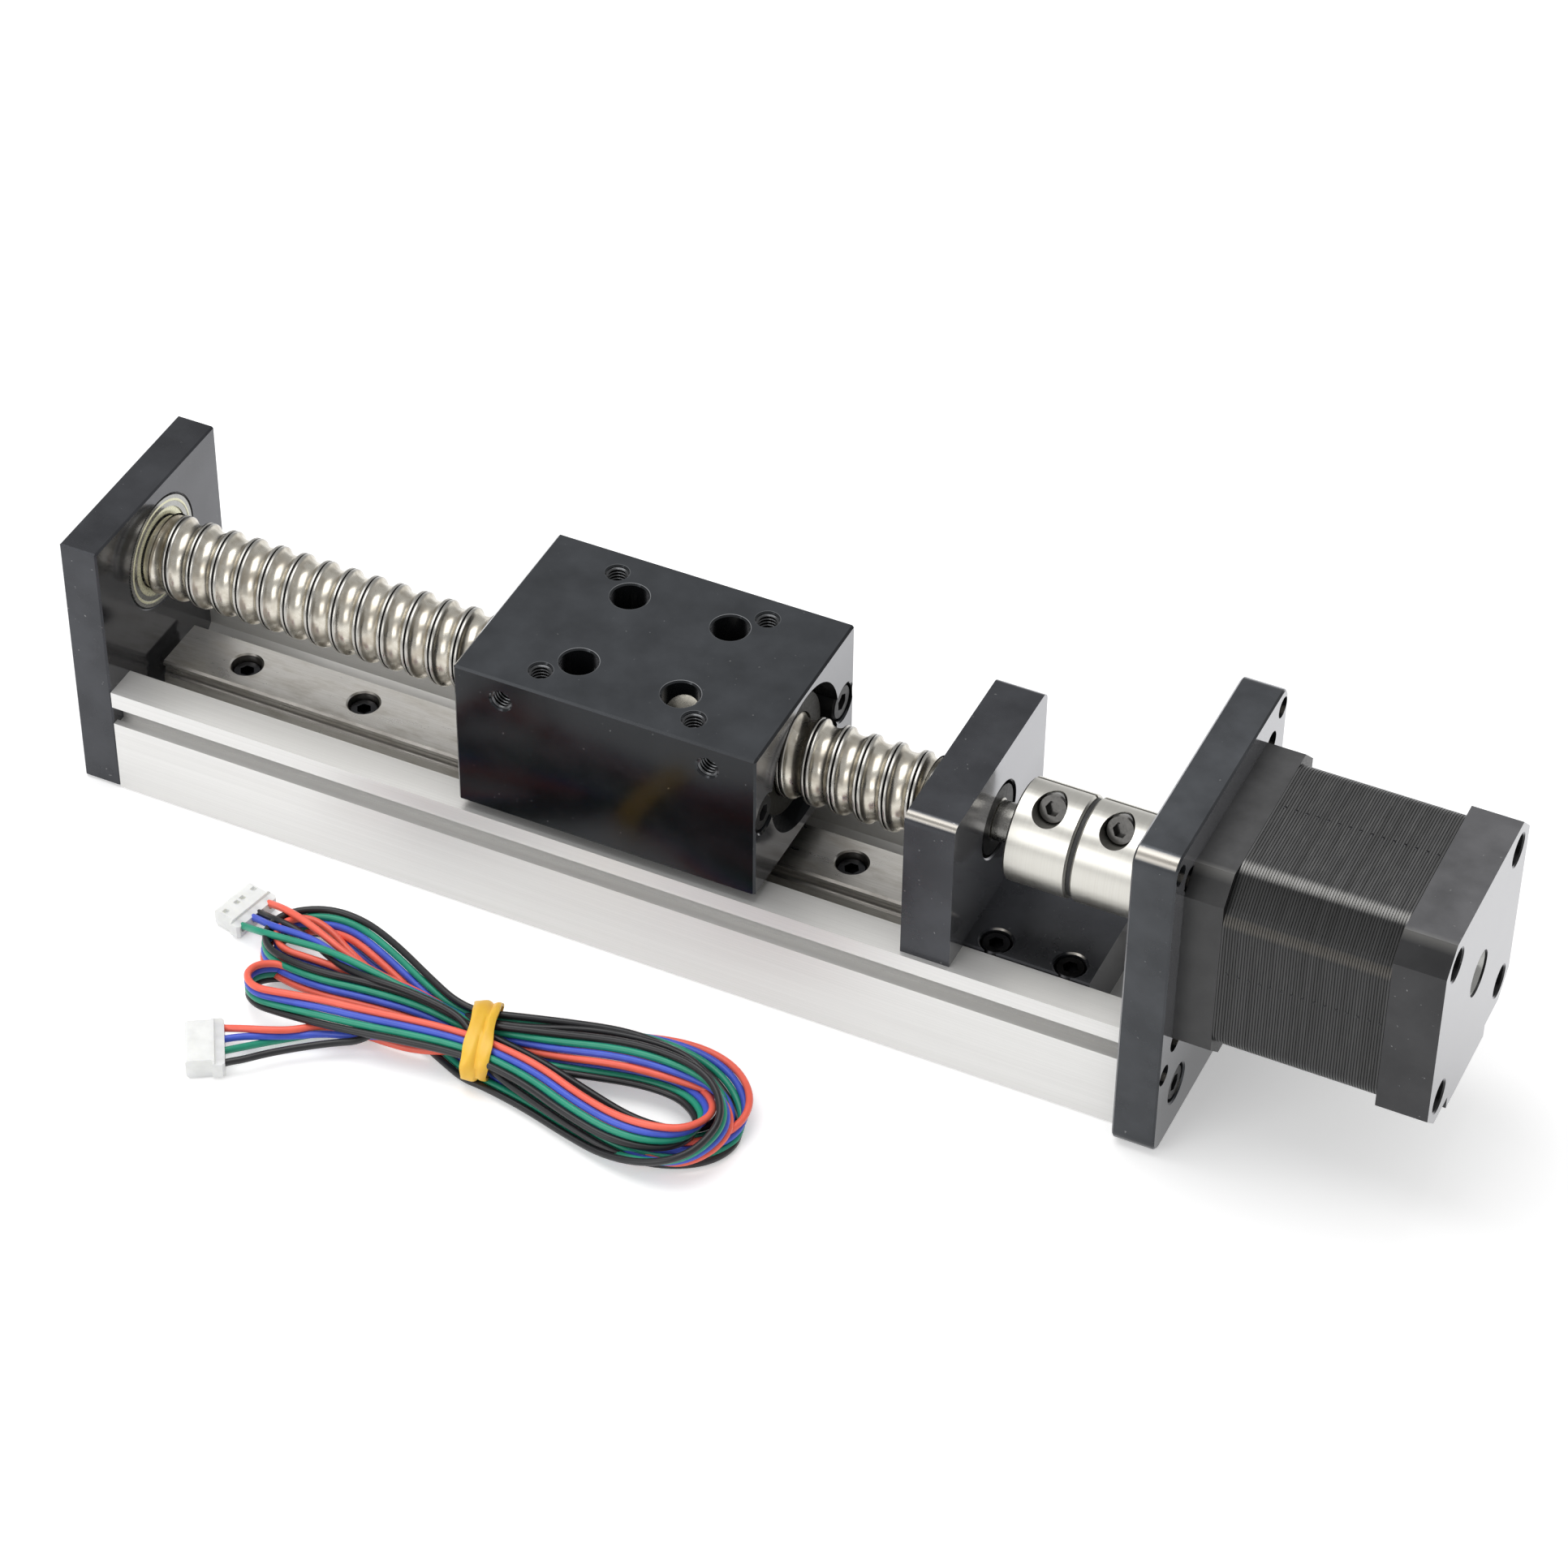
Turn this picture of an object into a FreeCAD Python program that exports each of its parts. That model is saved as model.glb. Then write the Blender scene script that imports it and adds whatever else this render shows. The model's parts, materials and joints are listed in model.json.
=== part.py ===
import FreeCAD, Part
import math
import os

# Ball screw linear module: an extruded channel with a linear guide in it, a coupled stepper motor,
# and a carriage driven by a ball screw. Millimetres, +X towards the motor, +Z up.
# Origin: middle of the module's length, under the screw axis, on the surface that it stands on.

# Driving dimensions: extrusion and plates
profile_length = 203.6
profile_width = 42.5
profile_height = 23.4
channel_width = 28.5
channel_floor = 12.1
channel_foot_chamfer = 1.6
side_slot_low = 15.8
side_slot_opening = 4.0
side_slot_lip = 1.3
side_slot_cavity = 6.0
side_slot_depth = 3.4
base_slot_opening = 6.0
base_slot_lip = 1.6
base_slot_cavity = 11.0
base_slot_depth = 5.0
core_width = 6.0
core_height = 5.0
core_offset = 10.0
core_low = 2.6
plate_tap_depth = 13.0
rail_tap_depth = 5.0
foot_tap_depth = 6.0
end_plate_t = 7.8
end_plate_height = 56.2
motor_plate_t = 8.0
motor_plate_width = 51.8
motor_plate_height = 69.1
motor_plate_round = 3.0
plate_edge = 0.35
plate_screw_y = 16.4
plate_screw_z = 9.7
flange_pattern = 47.14
flange_hole = 4.0
inner_pattern = 37.6
inner_hole = 5.0
support_back = 43.5
support_t = 9.4
support_width = 40.6
support_height = 55.8
support_round = 2.0
foot_length = 24.0
foot_top = 24.2
foot_play = 0.15
foot_screw_first = 5.1
foot_screw_pitch = 14.1
foot_screw_y = 11.3
foot_screw_reach = 5.0
pocket_mouth = 0.5

# Driving dimensions: guide
rail_width = 12.0
rail_height = 8.0
rail_gap = 1.95
rail_end_to_hole = 14.6
rail_pitch = 25.0
rail_support_gap = 2.0
rail_chamfer = 0.4
rail_seat = 4.5
rail_screw_reach = 4.5
raceway_z = 5.8
guide_ball = 2.38
guide_ball_offset = 0.6
guide_balls_per_row = 12
slider_width = 27.0
slider_body_length = 32.4
slider_cap_length = 6.0
slider_seal_t = 0.8
slider_ground = 3.0
guide_height = 13.0
slider_play = 0.35
seal_play = 0.08
cap_inset = 0.25
cap_screw_y = 10.2
cap_screw_z = 10.2
cap_tap_depth = 4.4
cap_screw_reach = 3.5
slider_corner = 1.0
slider_thread = 3.4
seal_inset = 0.6

# Driving dimensions: screw, nut and bearings
axis_z = 41.65
lead = 5.0
thread_relief = 6.0
segment_leads = 3
crest_r = 7.75
groove_centre_r = 8.1
ball_d = 3.175
race_play = 0.1
collar_r = 6.3
collar_gap = 0.2
collar_length = 3.5
bearing_bore = 8.0
bearing_od = 22.0
bearing_w = 7.0
bearing_ball = 3.97
bearing_balls = 7
bearing_lip_hole = 16.0
support_hole = 14.4
bearing_play = 0.05
shield_t = 0.35
shield_inset = 0.25
race_share = 0.32
lock_nut_d = 13.2
lock_nut_t = 2.2
drive_end_d = 7.4
drive_end_gap = 0.3
nut_length = 32.0
nut_d = 27.9
nut_bore_play = 0.2
nut_fit = 0.04
nut_circuits = 2.5
nut_balls = 34
wiper_d = 23.0
wiper_t = 2.0
wiper_play = 0.12
wiper_step = 0.6

# Driving dimensions: carriage
carriage_length = 59.2
carriage_width = 41.1
carriage_height = 31.8
carriage_gap = 72.8
carriage_edge = 0.4
access_pattern = 20.0
slider_hole_inset = 6.2
access_hole = 6.8
table_pattern = 30.0
table_tap = 4.0
table_tap_depth = 8.0
side_tap_pitch = 40.5
side_tap_drop = 4.9
nut_shoulder = 22.8
nut_clear_r = 11.5
nut_screw_y = 16.4
nut_cbore_r = 3.75
slider_screw_seat = 2.3
nut_tap_depth = 11.0
nut_screw_length = 10.0

# Driving dimensions: coupling
coupling_gap = 4.6
hub_length = 11.7
hub_d = 19.0
coupling_slit = 0.9
clamp_offset = 6.1
clamp_angle = 60.0
clamp_seat = 2.2
clamp_cbore_r = 2.95
clamp_slot = 1.0
clamp_mouth = 8.0
clamp_tap_depth = 12.0
clamp_screw_length = 8.5
insert_inset = 0.6

# Driving dimensions: motor
motor_size = 42.0
motor_length = 46.4
bell_t = 7.1
cap_t = 9.4
bell_chamfer = 4.3
stack_chamfer = 6.8
pilot_d = 22.0
pilot_t = 2.0
shaft_d = 5.0
shaft_out = 24.0
shaft_rear_gap = 1.2
motor_pattern = 31.0
motor_bearing_od = 16.0
motor_bearing_w = 5.0
motor_bearing_ball = 3.2
winding_r = 18.0
pole_r = 13.0
pole_width = 5.0
pole_count = 8
air_gap = 0.1
pole_root = 0.5
shoe_t = 1.4
shoe_share = 0.85
coil_t = 1.2
coil_over = 0.8
coil_play = 0.05
coil_inset = 0.4
end_recess = 1.5
shaft_clearance = 0.6
bearing_wall = 1.0
screw_share = 0.45
spring_t = 0.45
spring_inset = 0.3
spring_bore = 10.0
rotor_cup = 13.5
magnet_t = 2.0
rear_hole_d = 8.6
rear_screw_hole = 6.0
rear_screw_depth = 5.8
boss_width = 17.0
boss_drop = 2.7
boss_depth = 9.0
boss_rise = 3.0
boss_wall = 1.2
socket_play = 0.05
socket_recess = 0.3
socket_wall = 0.8
socket_back = 1.2
pin_count = 6
pin_pitch = 2.0
pin_size = 0.5

# Driving dimensions: screws, as (thread, head diameter, head height, hexagon)
m2 = (2.0, 3.6, 1.4, 1.5)
m3 = (3.0, 5.5, 3.0, 2.5)
m3_low = (3.0, 5.5, 2.0, 2.0)
m4 = (4.0, 7.0, 4.0, 3.0)
tap_play = 0.02
through_play = 0.2
head_play = 0.25
mouth = 0.3

# Driving dimensions: loose motor lead, laid in front of the module
bundle_d = 3.0
plug_a_size = (6.5, 10.8, 3.8)
plug_a_pins = (-3.75, -0.75, 0.75, 3.75)
plug_b_size = (7.0, 11.8, 4.2)
plug_b_pins = (-4.2, -1.4, 1.4, 4.2)
plug_chamfer = 0.5
plug_ear = 0.8
plug_ear_share = 0.33
plug_step = 0.6
plug_step_length = 1.8
plug_window = 1.0
plug_window_place = 4.4
plug_window_depth = 0.7
plug_entry_d = 1.7
plug_entry_share = 0.6
plug_entry_depth = 1.5
hank_low = 1.0
hank_height = 7.0
band_t = 1.0
band_width = 4.2
band_half = 8.55
tail_a_length = 8.5
tail_b_start = 3.0

V = FreeCAD.Vector
X_AXIS = V(1, 0, 0)
Y_AXIS = V(0, 1, 0)
Z_AXIS = V(0, 0, 1)

# Stations along X, worked out from the left end of the module
overall_length = end_plate_t + profile_length + motor_plate_t + motor_length
x_left = -overall_length / 2
x_profile = x_left + end_plate_t
x_plate = x_profile + profile_length
x_motor = x_plate + motor_plate_t
x_end = x_motor + motor_length
x_support = x_plate - support_back
x_support_face = x_support + support_t
x_foot_end = x_support_face + foot_length
x_carriage = x_profile + carriage_gap
x_carriage_end = x_carriage + carriage_length
x_middle = (x_carriage + x_carriage_end) / 2
x_nut = x_carriage + nut_shoulder
x_nut_end = x_nut + nut_length
x_rail = x_profile + rail_gap
x_thread = x_profile + collar_gap + collar_length
thread_segments = int((x_support - x_thread - thread_relief) / (segment_leads * lead))
x_thread_end = x_thread + thread_segments * segment_leads * lead
x_coupling = x_support_face + coupling_gap
x_hub_b = x_coupling + hub_length + coupling_slit
x_stack = x_motor + bell_t
x_cap = x_end - cap_t

# Heights and half widths that several pieces share
rail_top = channel_floor + rail_height
carriage_floor = channel_floor + guide_height
carriage_top = carriage_floor + carriage_height
half_profile = profile_width / 2
half_channel = channel_width / 2
half_carriage = carriage_width / 2
race_z = channel_floor + raceway_z
race_y = rail_width / 2 + guide_ball_offset
groove_r = ball_d / 2 + race_play
motor_half = motor_size / 2
motor_bottom = axis_z - motor_half


def box(x0, x1, y0, y1, z0, z1):
    return Part.makeBox(x1 - x0, y1 - y0, z1 - z0, V(x0, y0, z0))


def rod_x(r, x0, x1, y=0.0, z=axis_z):
    return Part.makeCylinder(r, x1 - x0, V(x0, y, z), X_AXIS)


def rod_z(r, z0, z1, x, y):
    return Part.makeCylinder(r, z1 - z0, V(x, y, z0), Z_AXIS)


def ring_x(r_in, r_out, x0, x1, y=0.0, z=axis_z):
    return rod_x(r_out, x0, x1, y, z).cut(rod_x(r_in, x0 - 1, x1 + 1, y, z))


def cone_x(r0, r1, x0, x1, y=0.0, z=axis_z):
    return Part.makeCone(r0, r1, x1 - x0, V(x0, y, z), X_AXIS)


def outline(points, length, start, direction):
    """A prism of a closed outline of corner points, pushed along direction."""
    wire = Part.makePolygon([start + p for p in points] + [start + points[0]])
    return Part.Face(wire).extrude(direction * length)


def prism_x(corners, x0, x1):
    """A prism along X of an outline of (y, z) corners."""
    return outline([V(0, y, z) for y, z in corners], x1 - x0, V(x0, 0, 0), X_AXIS)


def square_x(half, chamfer, x0, x1, z=axis_z):
    """A square bar along X with flat corners."""
    near = half - chamfer
    corners = [(-near, -half), (near, -half), (half, -near), (half, near),
               (near, half), (-near, half), (-half, near), (-half, -near)]
    return prism_x([(y, z + dz) for y, dz in corners], x0, x1)


def cut_all(body, tools):
    return body.cut(Part.makeCompound(tools))


def save(node, shapes):
    """Writes one sub-part, a solid or a group of separate solids."""
    shape = shapes if isinstance(shapes, Part.Shape) else Part.makeCompound(shapes)
    for solid in shape.Solids:
        if not solid.isValid() or solid.Volume <= 0:
            print("bad solid in", node)
    shape.exportStep(os.path.join("parts", node + ".step"))
    print(node, len(shape.Solids), "solids", round(shape.Volume, 1), "mm3")


def placed(shape, x, y, z, direction):
    """Turns a shape built along +Z to a direction and moves it."""
    out = shape.copy()
    out.Placement = FreeCAD.Placement(V(x, y, z), FreeCAD.Rotation(Z_AXIS, direction))
    return out


def socket_screw(kind, length):
    """A socket head screw: shank from z=-length to 0, head above it, hexagon in the head."""
    thread, head, height, hexagon = kind
    r = head / 2
    bevel = height * 0.1
    body = Part.makeCylinder(r, height - bevel)
    body = body.fuse(Part.makeCone(r, r - bevel, bevel, V(0, 0, height - bevel)))
    body = body.fuse(Part.makeCylinder(thread / 2, length, V(0, 0, -length)))
    corner = hexagon / math.sqrt(3)
    points = [V(corner * math.cos(math.radians(60 * k)), corner * math.sin(math.radians(60 * k)), 0)
              for k in range(6)]
    depth = height * 0.55
    return body.cut(outline(points, depth + 1, V(0, 0, height - depth), Z_AXIS)).removeSplitter()


def screw_hole(kind, seat_depth, length, tapped=False, cbore_r=None):
    """The cutter of a screw's hole: seat at z=0, counterbore above it, shank hole below it."""
    thread, head, height, hexagon = kind
    play = tap_play if tapped else through_play
    hole = Part.makeCylinder(thread / 2 + play, length, V(0, 0, -length))
    if seat_depth > 0:
        r = cbore_r if cbore_r else head / 2 + head_play
        hole = hole.fuse(Part.makeCylinder(r, seat_depth + 1))
        hole = hole.fuse(Part.makeCone(r, r + mouth, mouth, V(0, 0, seat_depth - mouth)))
        hole = hole.fuse(Part.makeCylinder(r + mouth, 1, V(0, 0, seat_depth)))
    return hole


def tap_hole(d, depth, x, y, z, direction):
    """A tapped hole's cutter, from the surface inwards along direction, with a chamfered mouth."""
    r = d / 2
    hole = Part.makeCylinder(r, depth).fuse(Part.makeCone(r + mouth, r, mouth))
    hole = hole.fuse(Part.makeCylinder(r + mouth, 1, V(0, 0, -1)))
    return placed(hole, x, y, z, direction)


def edged_plate(x0, x1, width, z0, z1, corner_r, edge):
    """A plate across X with its top and bottom corners rounded and its rims broken."""
    body = box(x0, x1, -width / 2, width / 2, z0, z1)
    if corner_r > 0:
        along_x = [e for e in body.Edges if abs(e.tangentAt(e.FirstParameter).x) > 0.9]
        body = body.makeFillet(corner_r, along_x)
        rims = [e for e in body.Edges
                if abs(e.tangentAt(e.FirstParameter).x) < 0.1 and abs(e.BoundBox.XLength) < 0.01]
    else:
        rims = body.Edges
    return body.makeChamfer(edge, rims)


# Extrusion
def make_profile():
    body = box(x_profile, x_plate, -half_profile, half_profile, 0, profile_height)
    c = channel_foot_chamfer
    top = profile_height + 1
    low = channel_floor
    channel = [(-half_channel, top), (-half_channel, low + c), (-half_channel + c, low),
               (half_channel - c, low), (half_channel, low + c), (half_channel, top)]
    cutters = [prism_x(channel, x_profile - 1, x_plate + 1)]
    slot_z = side_slot_low + side_slot_opening / 2
    for side in (-1, 1):
        outer = side * (half_profile + 1)
        lip = side * (half_profile - side_slot_lip)
        deep = side * (half_profile - side_slot_depth)
        mouth_half = side_slot_opening / 2
        cavity_half = side_slot_cavity / 2
        ys = sorted((outer, deep))
        cutters.append(box(x_profile - 1, x_plate + 1, ys[0], ys[1],
                           slot_z - mouth_half, slot_z + mouth_half))
        ys = sorted((lip, deep))
        cutters.append(box(x_profile - 1, x_plate + 1, ys[0], ys[1],
                           slot_z - cavity_half, slot_z + cavity_half))
        y = side * core_offset
        cutters.append(box(x_profile - 1, x_plate + 1, y - core_width / 2, y + core_width / 2,
                           core_low, core_low + core_height))
    half = base_slot_opening / 2
    cutters.append(box(x_profile - 1, x_plate + 1, -half, half, -1, base_slot_depth))
    half = base_slot_cavity / 2
    cutters.append(box(x_profile - 1, x_plate + 1, -half, half, base_slot_lip, base_slot_depth))
    for y in (-plate_screw_y, plate_screw_y):
        r = m4[0] / 2 + tap_play
        cutters.append(rod_x(r, x_profile - 1, x_profile + plate_tap_depth, y, plate_screw_z))
        cutters.append(rod_x(r, x_plate - plate_tap_depth, x_plate + 1, y, plate_screw_z))
    tap = m3[0] / 2 + tap_play
    for x in rail_hole_stations():
        cutters.append(rod_z(tap, channel_floor - rail_tap_depth, channel_floor + 1, x, 0))
    for x, y in foot_screw_places():
        cutters.append(rod_z(tap, channel_floor - foot_tap_depth, channel_floor + 1, x, y))
    return cut_all(body, cutters)


def rail_pitches():
    """How many whole hole pitches the rail has before the bearing support."""
    room = x_support - rail_support_gap - x_rail - 2 * rail_end_to_hole
    return int(room / rail_pitch)


def rail_hole_stations():
    return [x_rail + rail_end_to_hole + rail_pitch * k for k in range(rail_pitches() + 1)]


def foot_screw_places():
    stations = [x_support_face + foot_screw_first, x_support_face + foot_screw_first + foot_screw_pitch]
    return [(x, y) for x in stations for y in (-foot_screw_y, foot_screw_y)]


# Plates
plate_screw_seat = m4[2] + 0.4
plate_screw_length = 14.0


def make_end_plate():
    body = edged_plate(x_left, x_profile, profile_width, 0, end_plate_height, 0, plate_edge)
    pocket = rod_x(bearing_od / 2 + tap_play, x_profile - bearing_w, x_profile + 1)
    rim = cone_x(bearing_od / 2, bearing_od / 2 + pocket_mouth, x_profile - pocket_mouth, x_profile)
    lip = rod_x(bearing_lip_hole / 2, x_left - 1, x_profile)
    cutters = [pocket, rim, lip]
    for y in (-plate_screw_y, plate_screw_y):
        hole = screw_hole(m4, plate_screw_seat, end_plate_t)
        cutters.append(placed(hole, x_left + plate_screw_seat, y, plate_screw_z, -X_AXIS))
    return cut_all(body, cutters)


def make_motor_plate():
    body = edged_plate(x_plate, x_motor, motor_plate_width, 0, motor_plate_height,
                       motor_plate_round, plate_edge)
    cutters = [rod_x(pilot_d / 2 + tap_play, x_plate - 1, x_motor + 1)]
    for side_y in (-1, 1):
        y = side_y * plate_screw_y
        hole = screw_hole(m4, plate_screw_seat, motor_plate_t)
        cutters.append(placed(hole, x_motor - plate_screw_seat, y, plate_screw_z, X_AXIS))
        for side_z in (-1, 1):
            for pattern, d in ((flange_pattern, flange_hole), (inner_pattern, inner_hole)):
                cutters.append(rod_x(d / 2, x_plate - 1, x_motor + 1,
                                     side_y * pattern / 2, axis_z + side_z * pattern / 2))
            hole = screw_hole(m3, m3[2] + 0.3, motor_plate_t)
            cutters.append(placed(hole, x_plate + m3[2] + 0.3, side_y * motor_pattern / 2,
                                  axis_z + side_z * motor_pattern / 2, -X_AXIS))
    return cut_all(body, cutters)


def make_support():
    half = support_width / 2
    body = box(x_support, x_support_face, -half, half, profile_height, support_height)
    tops = [e for e in body.Edges if abs(e.tangentAt(e.FirstParameter).x) > 0.9
            and e.CenterOfMass.z > support_height - 0.1]
    body = body.makeFillet(support_round, tops)
    foot_half = half_channel - foot_play
    c = channel_foot_chamfer + foot_play
    foot = prism_x([(-foot_half, channel_floor + c), (-foot_half + c, channel_floor),
                    (foot_half - c, channel_floor), (foot_half, channel_floor + c),
                    (foot_half, foot_top), (-foot_half, foot_top)], x_support, x_foot_end)
    body = body.fuse(foot).removeSplitter()
    cutters = [rod_x(bearing_od / 2 + tap_play, x_support - 1, x_support + bearing_w),
               rod_x(support_hole / 2, x_support, x_support_face + 1),
               cone_x(support_hole / 2, support_hole / 2 + mouth, x_support_face - mouth, x_support_face)]
    seat = foot_top - foot_screw_seat
    for x, y in foot_screw_places():
        hole = screw_hole(m3, foot_screw_seat, seat - channel_floor + 1)
        cutters.append(placed(hole, x, y, seat, Z_AXIS))
    return cut_all(body, cutters)


foot_screw_seat = m3[2] + 0.5


def plate_screws(x_seat, direction):
    screw = socket_screw(m4, plate_screw_length)
    return [placed(screw, x_seat, y, plate_screw_z, direction) for y in (-plate_screw_y, plate_screw_y)]


def make_foot_screws():
    seat = foot_top - foot_screw_seat
    screw = socket_screw(m3, seat - channel_floor + foot_screw_reach)
    return [placed(screw, x, y, seat, Z_AXIS) for x, y in foot_screw_places()]


# Linear guide
def make_rail():
    length = 2 * rail_end_to_hole + rail_pitch * rail_pitches()
    half = rail_width / 2
    c = rail_chamfer
    body = prism_x([(-half, channel_floor), (half, channel_floor), (half, rail_top - c),
                    (half - c, rail_top), (-half + c, rail_top), (-half, rail_top - c)],
                   x_rail, x_rail + length)
    cutters = []
    for side in (-1, 1):
        cutters.append(rod_x(guide_ball / 2 + race_play, x_rail - 1, x_rail + length + 1,
                             side * race_y, race_z))
    for x in rail_hole_stations():
        hole = screw_hole(m3, rail_seat, rail_height)
        cutters.append(placed(hole, x, 0, rail_top - rail_seat, Z_AXIS))
    return cut_all(body, cutters)


def make_rail_screws():
    seat = rail_top - rail_seat
    screw = socket_screw(m3, seat - channel_floor + rail_screw_reach)
    return [placed(screw, x, 0, seat, Z_AXIS) for x in rail_hole_stations()]


def slider_section(x0, x1, inset, play):
    """The slider's saddle shape between two stations, open round the rail by play."""
    half = slider_width / 2 - inset
    low = channel_floor + slider_ground + inset
    top = carriage_floor - inset
    c = slider_corner
    body = prism_x([(-half, low), (half, low), (half, top - c), (half - c, top),
                    (-half + c, top), (-half, top - c)], x0, x1)
    inner = rail_width / 2 + play
    body = body.cut(box(x0 - 1, x1 + 1, -inner, inner, low - 1, rail_top + play))
    cutters = []
    for side in (-1, 1):
        cutters.append(rod_x(guide_ball / 2 + race_play, x0 - 1, x1 + 1, side * race_y, race_z))
    return cut_all(body, cutters)


def slider_screw_places():
    half_x = slider_body_length / 2 - slider_hole_inset
    half_y = access_pattern / 2
    return [(x_middle + sx * half_x, sy * half_y) for sx in (-1, 1) for sy in (-1, 1)]


def make_slider_body():
    half = slider_body_length / 2
    body = slider_section(x_middle - half, x_middle + half, 0, slider_play)
    cutters = [rod_z(m3[0] / 2 + tap_play, carriage_floor - slider_thread - 0.3, carriage_floor + 1, x, y)
               for x, y in slider_screw_places()]
    for side in (-1, 1):
        for y in (-cap_screw_y, cap_screw_y):
            xs = sorted((x_middle + side * (half + 1), x_middle + side * (half - cap_tap_depth)))
            cutters.append(rod_x(m2[0] / 2 + tap_play, xs[0], xs[1], y, channel_floor + cap_screw_z))
    return cut_all(body, cutters)


def make_slider_cap(side):
    near = slider_body_length / 2
    far = near + slider_cap_length
    xs = sorted((x_middle + side * near, x_middle + side * far))
    body = slider_section(xs[0], xs[1], cap_inset, slider_play)
    seat = x_middle + side * (far - m2[2])
    hole = screw_hole(m2, m2[2], slider_cap_length)
    cutters = [placed(hole, seat, y, channel_floor + cap_screw_z, X_AXIS * side)
               for y in (-cap_screw_y, cap_screw_y)]
    return cut_all(body, cutters)


def make_slider_seals():
    seals = []
    far = slider_body_length / 2 + slider_cap_length
    for side in (-1, 1):
        xs = sorted((x_middle + side * far, x_middle + side * (far + slider_seal_t)))
        half = slider_width / 2 - cap_inset - seal_inset
        low = channel_floor + slider_ground + cap_inset + seal_inset
        top = carriage_floor - cap_inset - seal_inset
        inner = rail_width / 2 + seal_play
        body = box(xs[0], xs[1], -half, half, low, top)
        body = body.cut(box(xs[0] - 1, xs[1] + 1, -inner, inner, low - 1, rail_top + seal_play))
        seals.append(body)
    return seals


def make_cap_screws():
    screw = socket_screw(m2, slider_cap_length - m2[2] + cap_screw_reach)
    far = slider_body_length / 2 + slider_cap_length
    return [placed(screw, x_middle + side * (far - m2[2]), y, channel_floor + cap_screw_z, X_AXIS * side)
            for side in (-1, 1) for y in (-cap_screw_y, cap_screw_y)]


def make_guide_balls():
    pitch = slider_body_length / guide_balls_per_row
    first = x_middle - slider_body_length / 2 + pitch / 2
    return [Part.makeSphere(guide_ball / 2, V(first + pitch * k, side * race_y, race_z))
            for side in (-1, 1) for k in range(guide_balls_per_row)]


# Bearings
def bearing_radii(bore, od, ball):
    pitch = (bore + od) / 4
    inner = pitch - ball * race_share
    outer = pitch + ball * race_share
    return pitch, inner, outer


def race_torus(x, pitch, ball):
    return Part.makeTorus(pitch, ball / 2 + bearing_play, V(x, 0, axis_z), X_AXIS)


def bearing_outer(x0, bore, od, width, ball):
    pitch, inner, outer = bearing_radii(bore, od, ball)
    return ring_x(outer, od / 2, x0, x0 + width).cut(race_torus(x0 + width / 2, pitch, ball))


def bearing_inner(x0, bore, od, width, ball):
    pitch, inner, outer = bearing_radii(bore, od, ball)
    return ring_x(bore / 2, inner, x0, x0 + width).cut(race_torus(x0 + width / 2, pitch, ball))


def bearing_ball_set(x0, bore, od, width, ball, count):
    pitch, inner, outer = bearing_radii(bore, od, ball)
    return [Part.makeSphere(ball / 2, V(x0 + width / 2, pitch * math.cos(2 * math.pi * k / count),
                                        axis_z + pitch * math.sin(2 * math.pi * k / count)))
            for k in range(count)]


def bearing_shields(x0, bore, od, width, ball):
    pitch, inner, outer = bearing_radii(bore, od, ball)
    starts = (x0 + shield_inset, x0 + width - shield_inset - shield_t)
    return [ring_x(inner + bearing_play * 2, outer, x, x + shield_t) for x in starts]


main_bearing = (bearing_bore, bearing_od, bearing_w, bearing_ball)
motor_bearing = (shaft_d, motor_bearing_od, motor_bearing_w, motor_bearing_ball)
x_end_bearing = x_profile - bearing_w
x_front_bearing = x_stack - motor_bearing_w - bearing_wall
x_rear_bearing = x_cap + 2.0


# Ball screw and nut
def helical_groove(x0, leads):
    """The round groove of the balls' path, as a cutter along +X, right-handed."""
    helix = Part.makeHelix(lead, leads * lead, groove_centre_r)
    section = Part.Wire(Part.makeCircle(groove_r, V(groove_centre_r, 0, 0), Y_AXIS))
    groove = Part.Wire(helix.Edges).makePipeShell([section], True, True)
    groove.rotate(V(0, 0, 0), Y_AXIS, 90)
    groove.translate(V(x0, 0, axis_z))
    return groove


def make_screw():
    segment_length = segment_leads * lead
    segment = rod_x(crest_r, 0, segment_length)
    segment = segment.cut(helical_groove(-lead / 2, segment_leads + 1))
    pieces = []
    for k in range(thread_segments):
        piece = segment.copy()
        piece.translate(V(x_thread + segment_length * k, 0, 0))
        pieces.append(piece)
    pieces.append(rod_x(collar_r, x_thread - collar_length, x_thread))
    pieces.append(rod_x(bearing_bore / 2, x_end_bearing, x_thread - collar_length))
    pieces.append(rod_x(collar_r, x_thread_end, x_support))
    pieces.append(rod_x(bearing_bore / 2, x_support, x_support_face))
    pieces.append(rod_x(drive_end_d / 2, x_support_face, x_coupling + hub_length - drive_end_gap))
    return pieces[0].fuse(pieces[1:])


def make_nut():
    bore = crest_r + nut_bore_play
    body = ring_x(bore, nut_d / 2, x_nut, x_nut_end)
    start = groove_phase_station(nut_groove_leads())
    return body.cut(helical_groove(start, nut_groove_leads()))


def nut_groove_leads():
    return math.ceil(nut_circuits) + 1


def groove_phase_station(leads):
    """A station near the middle of the nut where the screw's groove has its starting angle."""
    wanted = (x_nut + x_nut_end) / 2 - leads * lead / 2
    first = x_thread - lead / 2
    return first + round((wanted - first) / lead) * lead


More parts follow.
